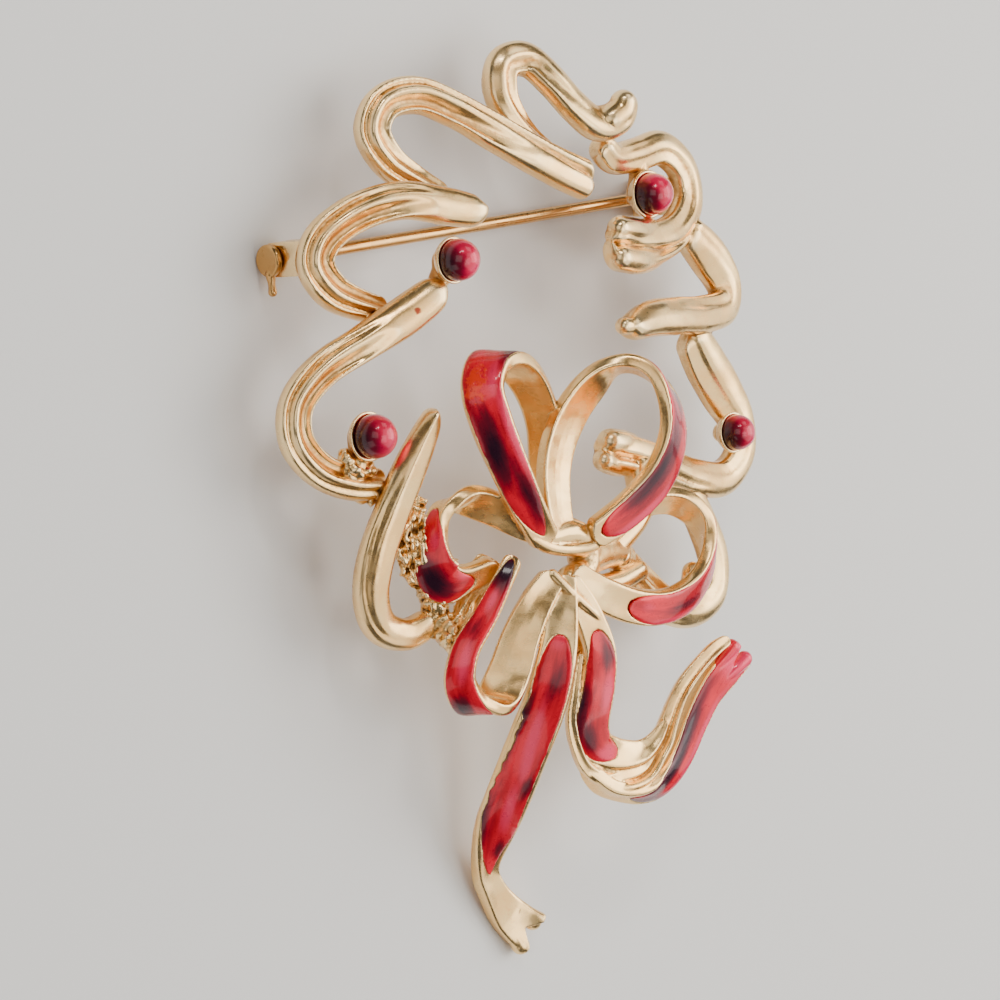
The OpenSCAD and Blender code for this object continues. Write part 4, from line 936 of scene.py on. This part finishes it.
def gather(name, ribbons, others, webs):
    """One skin of the bow: ribbons with enamel channels, then ribbons and bars without."""
    parts = []
    for piece, rows, *span in ribbons:
        mesh = ribbon(rows, span, 2.0 if rows is TAIL_RISING else 0.4, 0.1 if piece in NOTCHES else 0.6, name=piece)
        parts.append(notched(mesh, rows, NOTCHES[piece]) if piece in NOTCHES else mesh)
    obj = build(name, *parts, *others, *(rod(chain) for chain in webs))
    fuse(obj, VOXEL_BOW, 3, LARGE)
    crumple(obj, ROUGH, 0.08)
    wobble(obj, 0.02, 0.6)
    relief(obj)
    dress(obj, GOLD, "gilt_metal", "gilt_casting")


gather("bow_loops", LOOPS, (), SMOOTH_WEBS[:2] + SMOOTH_WEBS[3:])
gather("bow_tails", TAILS, (ribbon(TONGUE), foil(PLEAT, 3.5, 0.35), ribbon(TAIL_EDGE, band=True),
                            *(foil(rows, 1.5, 0.4) for rows in FOILS)),
       SMOOTH_WEBS[:1] + SMOOTH_WEBS[2:3] + ROUGH_WEBS + (SEAM,) + PRONGS)

# Fittings: the hinge's ears, the catch's hook, the pin and the lever, in the pin's frame
pin_angle = math.atan2(HINGE_AT[1] - CATCH_AT[1], HINGE_AT[0] - CATCH_AT[0])
ALONG = np.array((math.cos(pin_angle), math.sin(pin_angle), 0.0))
ASIDE = np.array((-math.sin(pin_angle), math.cos(pin_angle), 0.0))
# Small and wide hollows, and painted shade on walls that look down.
PLAIN_RELIEF = (4, 8, 0.1)


def pin_point(at, x, y, z):
    return np.array((*at, z - PIN_BACK)) + ALONG * x + ASIDE * y


def ear(a):
    """The outline's radius at that angle: round below, and straight up to the root in the garland."""
    c, s = math.cos(a), math.sin(a)
    return EAR_R if s <= 0 else min(EAR_R / max(abs(c), 1e-6), ROOT_TOP / s)


parts = []
for side in (-1, 1):
    middle, half = side * (KNUCKLE_W / 2 + RUN_GAP + EAR_W / 2), EAR_W / 2
    outer, inner = [ear(a) for a in circle(48)], [TRUNNION_R + RUN_GAP] * 48
    rings = [[pin_point(HINGE_AT, r * math.cos(a), middle + y, r * math.sin(a)) for a, r in zip(circle(48), radii)]
             for radii, y in ((outer, -half), (inner, -half), (inner, half), (outer, half))]
    parts.append(tube(np.array(rings), hollow=True))
bore = EAR_R - CATCH_WALL
slot_out, slot_in = math.asin(CATCH_SLOT / 2 / EAR_R), math.asin(CATCH_SLOT / 2 / bore)
right = [(EAR_R * math.sin(b), -EAR_R * math.cos(b)) for b in np.linspace(slot_out, math.pi / 2, 12)]
hook = right + [(EAR_R, ROOT_TOP), (-EAR_R, ROOT_TOP)] + [(-y, z) for y, z in right[::-1]]
hook += [(-bore * math.sin(b), -bore * math.cos(b)) for b in np.linspace(slot_in, 2 * math.pi - slot_in, 32)]
n_hook = len(hook)
verts = [tuple(pin_point(CATCH_AT, x, y, z)) for x in (-CATCH_LEN / 2, CATCH_LEN / 2) for y, z in hook]
faces = [tuple(range(n_hook))[::-1], tuple(range(n_hook, 2 * n_hook))]
faces += [(i, (i + 1) % n_hook, n_hook + (i + 1) % n_hook, n_hook + i) for i in range(n_hook)]
fittings = build("fittings", *parts, (verts, faces))
apply(fittings, BEVEL={"width": 0.08, "segments": 2, "limit_method": "ANGLE"})
relief(fittings, 2, 8, 0.1)
dress(fittings, GOLD, "gilt_metal", "gilt_casting")

hinge, catch = pin_point(HINGE_AT, 0, 0, 0), pin_point(CATCH_AT, 0, 0, 0)
k, t, r = KNUCKLE_R, TRUNNION_R, WIRE_R
knuckle = drum(KNUCKLE_W / 2, (k - 0.12, 0.0), (k - 0.03, 0.04), (k, 0.12))
trunnions = drum(KNUCKLE_W / 2 + EAR_W, (t * 0.6, 0.02), (t * 0.9, 0.07), (t, 0.16))
wire = [(0.0, 0.0), (r + 0.14, 0.3), (r + 0.12, 1.1), (r + 0.03, 1.5), (r, 2.0)]
wire += [(r, d) for d in np.linspace(3.0, WIRE_LEN, 24)]
wire += [(r * (1 - f) + 0.08 * f, WIRE_LEN + POINT_LEN * f) for f in (0.25, 0.5, 0.75, 0.95)]
wire += [(0.05, WIRE_LEN + POINT_LEN - 0.03), (0.0, WIRE_LEN + POINT_LEN)]
pin = build("pin", turned(knuckle, hinge, ASIDE), turned(trunnions, hinge, ASIDE), turned(wire, hinge, -ALONG, 32))
fuse(pin, VOXEL_PIN, 1, SMALL)
relief(pin, *PLAIN_RELIEF)
dress(pin, DULL_SHADED_GOLD, "pin_wire", "pin_stem")

head = CATCH_LEN / 2 + RUN_GAP  # from here on the sleeve is as wide as the hook
sleeve, hole, big = bore - RUN_GAP, WIRE_R + 2 * RUN_GAP, EAR_R - RUN_GAP
lever = [(hole, head - 0.05), (hole, -head), (sleeve, -head), (sleeve, head - 0.03), (big - 0.1, head),
         (big, head + 0.1), (big, head + 0.38), (big - 0.06, head + 0.46), (big - 0.14, head + 0.5),
         (big - 0.3, head + 0.47), (0.3, head + 0.44), (0.0, head + 0.44), (0.0, head)]
tab = [(*pin_point(CATCH_AT, -head - 0.25, y, 0), r) for y, r in ((-0.9, 0.36), (-1.5, 0.24), (-2.0, 0.3))]
lever = build("lever", turned(lever, catch, -ALONG, hollow=True), rod(tab))
fuse(lever, VOXEL_FINE, 1, SMALL)
relief(lever, *PLAIN_RELIEF)
dress(lever, DULL_SHADED_GOLD, "pin_wire", "catch_lever")


# Enamel
def spread(patches, share, aside):
    """How strongly each point lies in some slanting patches."""
    out = np.zeros(len(share))
    for at, across, reach_at, reach_across, much, *slant in patches:
        along = (share - at) / reach_at
        off = (aside - across - sum(slant) * along) / reach_across
        out = np.maximum(out, much * np.exp(-(along**2) - off**2))
    return out


# The enamel's places across a ribbon, the height of its edge and how much its middle is domed, how far it reaches into
# the channel's wall, in shares of the half width, and into the channel's floor.
ACROSS = np.linspace(-1, 1, 25)
EDGE_UP, DOME = 0.46 * RIBBON_T, 0.1
UNDERCUT, SINK = 0.03, 0.02
FORKED = "tail_rising"
for name, rows, first, last, start, end in LOOPS + TAILS:
    rings = even(rows, 0.1, first, last)
    keep = narrowing(rings[:, -2], rings[:, -1], first, last, start, end).clip(0.04, 1)
    low = 0.5 * RIBBON_T - CHANNEL_D - SINK
    u = np.r_[ACROSS, 1, -1]
    v = np.r_[EDGE_UP + DOME * (1 - ACROSS**4), low, low]

    def outline(i):
        """Edges that waver, are worn back in places and lie lower where the enamel is narrow."""
        s = rings[i, -1]
        edge = [(1 + 0.035 * noise.noise(Vector((s * 1.4, k, 0))) + 0.02 * noise.noise(Vector((s * 4.0, k, 3))))
                * worn(name, s / rings[-1, -1], way) for k, way in ((0, 1), (9, -1))]
        side = np.where(u > 0, *edge)
        width = keep[i] * (CHANNEL_EDGE + UNDERCUT) * rings[i, 3] / 2
        return u * side * width, np.minimum(v, 0.4 + 0.16 * keep[i]), 0 * u

    parts = [tube(lay(rings, outline))]
    if name == FORKED:
        deep, wide = NOTCHES[name]
        parts = [notched(*parts, rows, (deep + 0.02, wide + 0.06)), *(rod(chain) for chain in ENAMEL_PRONGS)]
    piece = build("glaze_" + name, *parts)
    if name == FORKED:
        fuse(piece, VOXEL_FINE, 3, SMALL)
    # Each vertex takes its place along and across the ribbon from the nearest ring.
    middle, co = rings[:, :3], coords(piece)
    near = np.array([np.argmin(((middle - p) ** 2).sum(1)) for p in co])
    share = rings[near, -1] / rings[-1, -1]
    side = ((co - middle[near]) * axes(rings)[2][near]).sum(1)
    aside = side / (rings[near, 3] / 2)
    mark(piece, "run", rings[near, -1])
    # The number of meshes so far gives each stretch of enamel its own place in the noise.
    mark(piece, "side", side + 7.0 * len(bpy.data.meshes))
    # Painted dark reflection and shade, painted pink highlight and crazed wear along each ribbon.
    for kind, table in (("shade_and_dark_reflection", DARK_REFLECTIONS), ("painted_highlight", PINK_HIGHLIGHTS), ("worn", WORN)):
        mark(piece, kind, spread(table.get(name, ()), share, aside))
    dress(piece, BOW_ENAMEL, "bow_enamel", "enamel_" + name)

# Berries: slightly uneven balls, with painted shade to one side and a painted pink highlight to the other
SHADED_SIDE, LIT_SIDE = unit(np.array((-0.9, -0.3, 0.0))), unit(np.array((0.7, -0.5, 0.45)))
for name, (x, y, z, *_, radius, _) in BERRIES.items():
    bm = bmesh.new()
    bmesh.ops.create_uvsphere(bm, u_segments=64, v_segments=40, radius=radius)
    data = bpy.data.meshes.new(name + "_ball")
    for vert in bm.verts:
        vert.co *= 1 + 0.015 * noise.noise(vert.co * 0.9 + Vector((x, y, z)))
        vert.co += Vector((x, y, z))
    bm.to_mesh(data)
    bm.free()
    ball = placed(name + "_ball", data)
    at = (coords(ball) - (x, y, z)) / radius
    mark(ball, "run", at[:, 0] * radius + x)
    mark(ball, "side", at[:, 1] * radius + y)
    # Painted shade on the side away from the light, and a painted highlight on the side towards it.
    mark(ball, "shade_and_dark_reflection", 1.3 * np.clip(at @ SHADED_SIDE, 0, 1) ** 1.5)
    mark(ball, "painted_highlight", np.clip(at @ LIT_SIDE, 0, 1) ** 2)
    dress(ball, BERRY_ENAMEL, "berry_enamel", name)
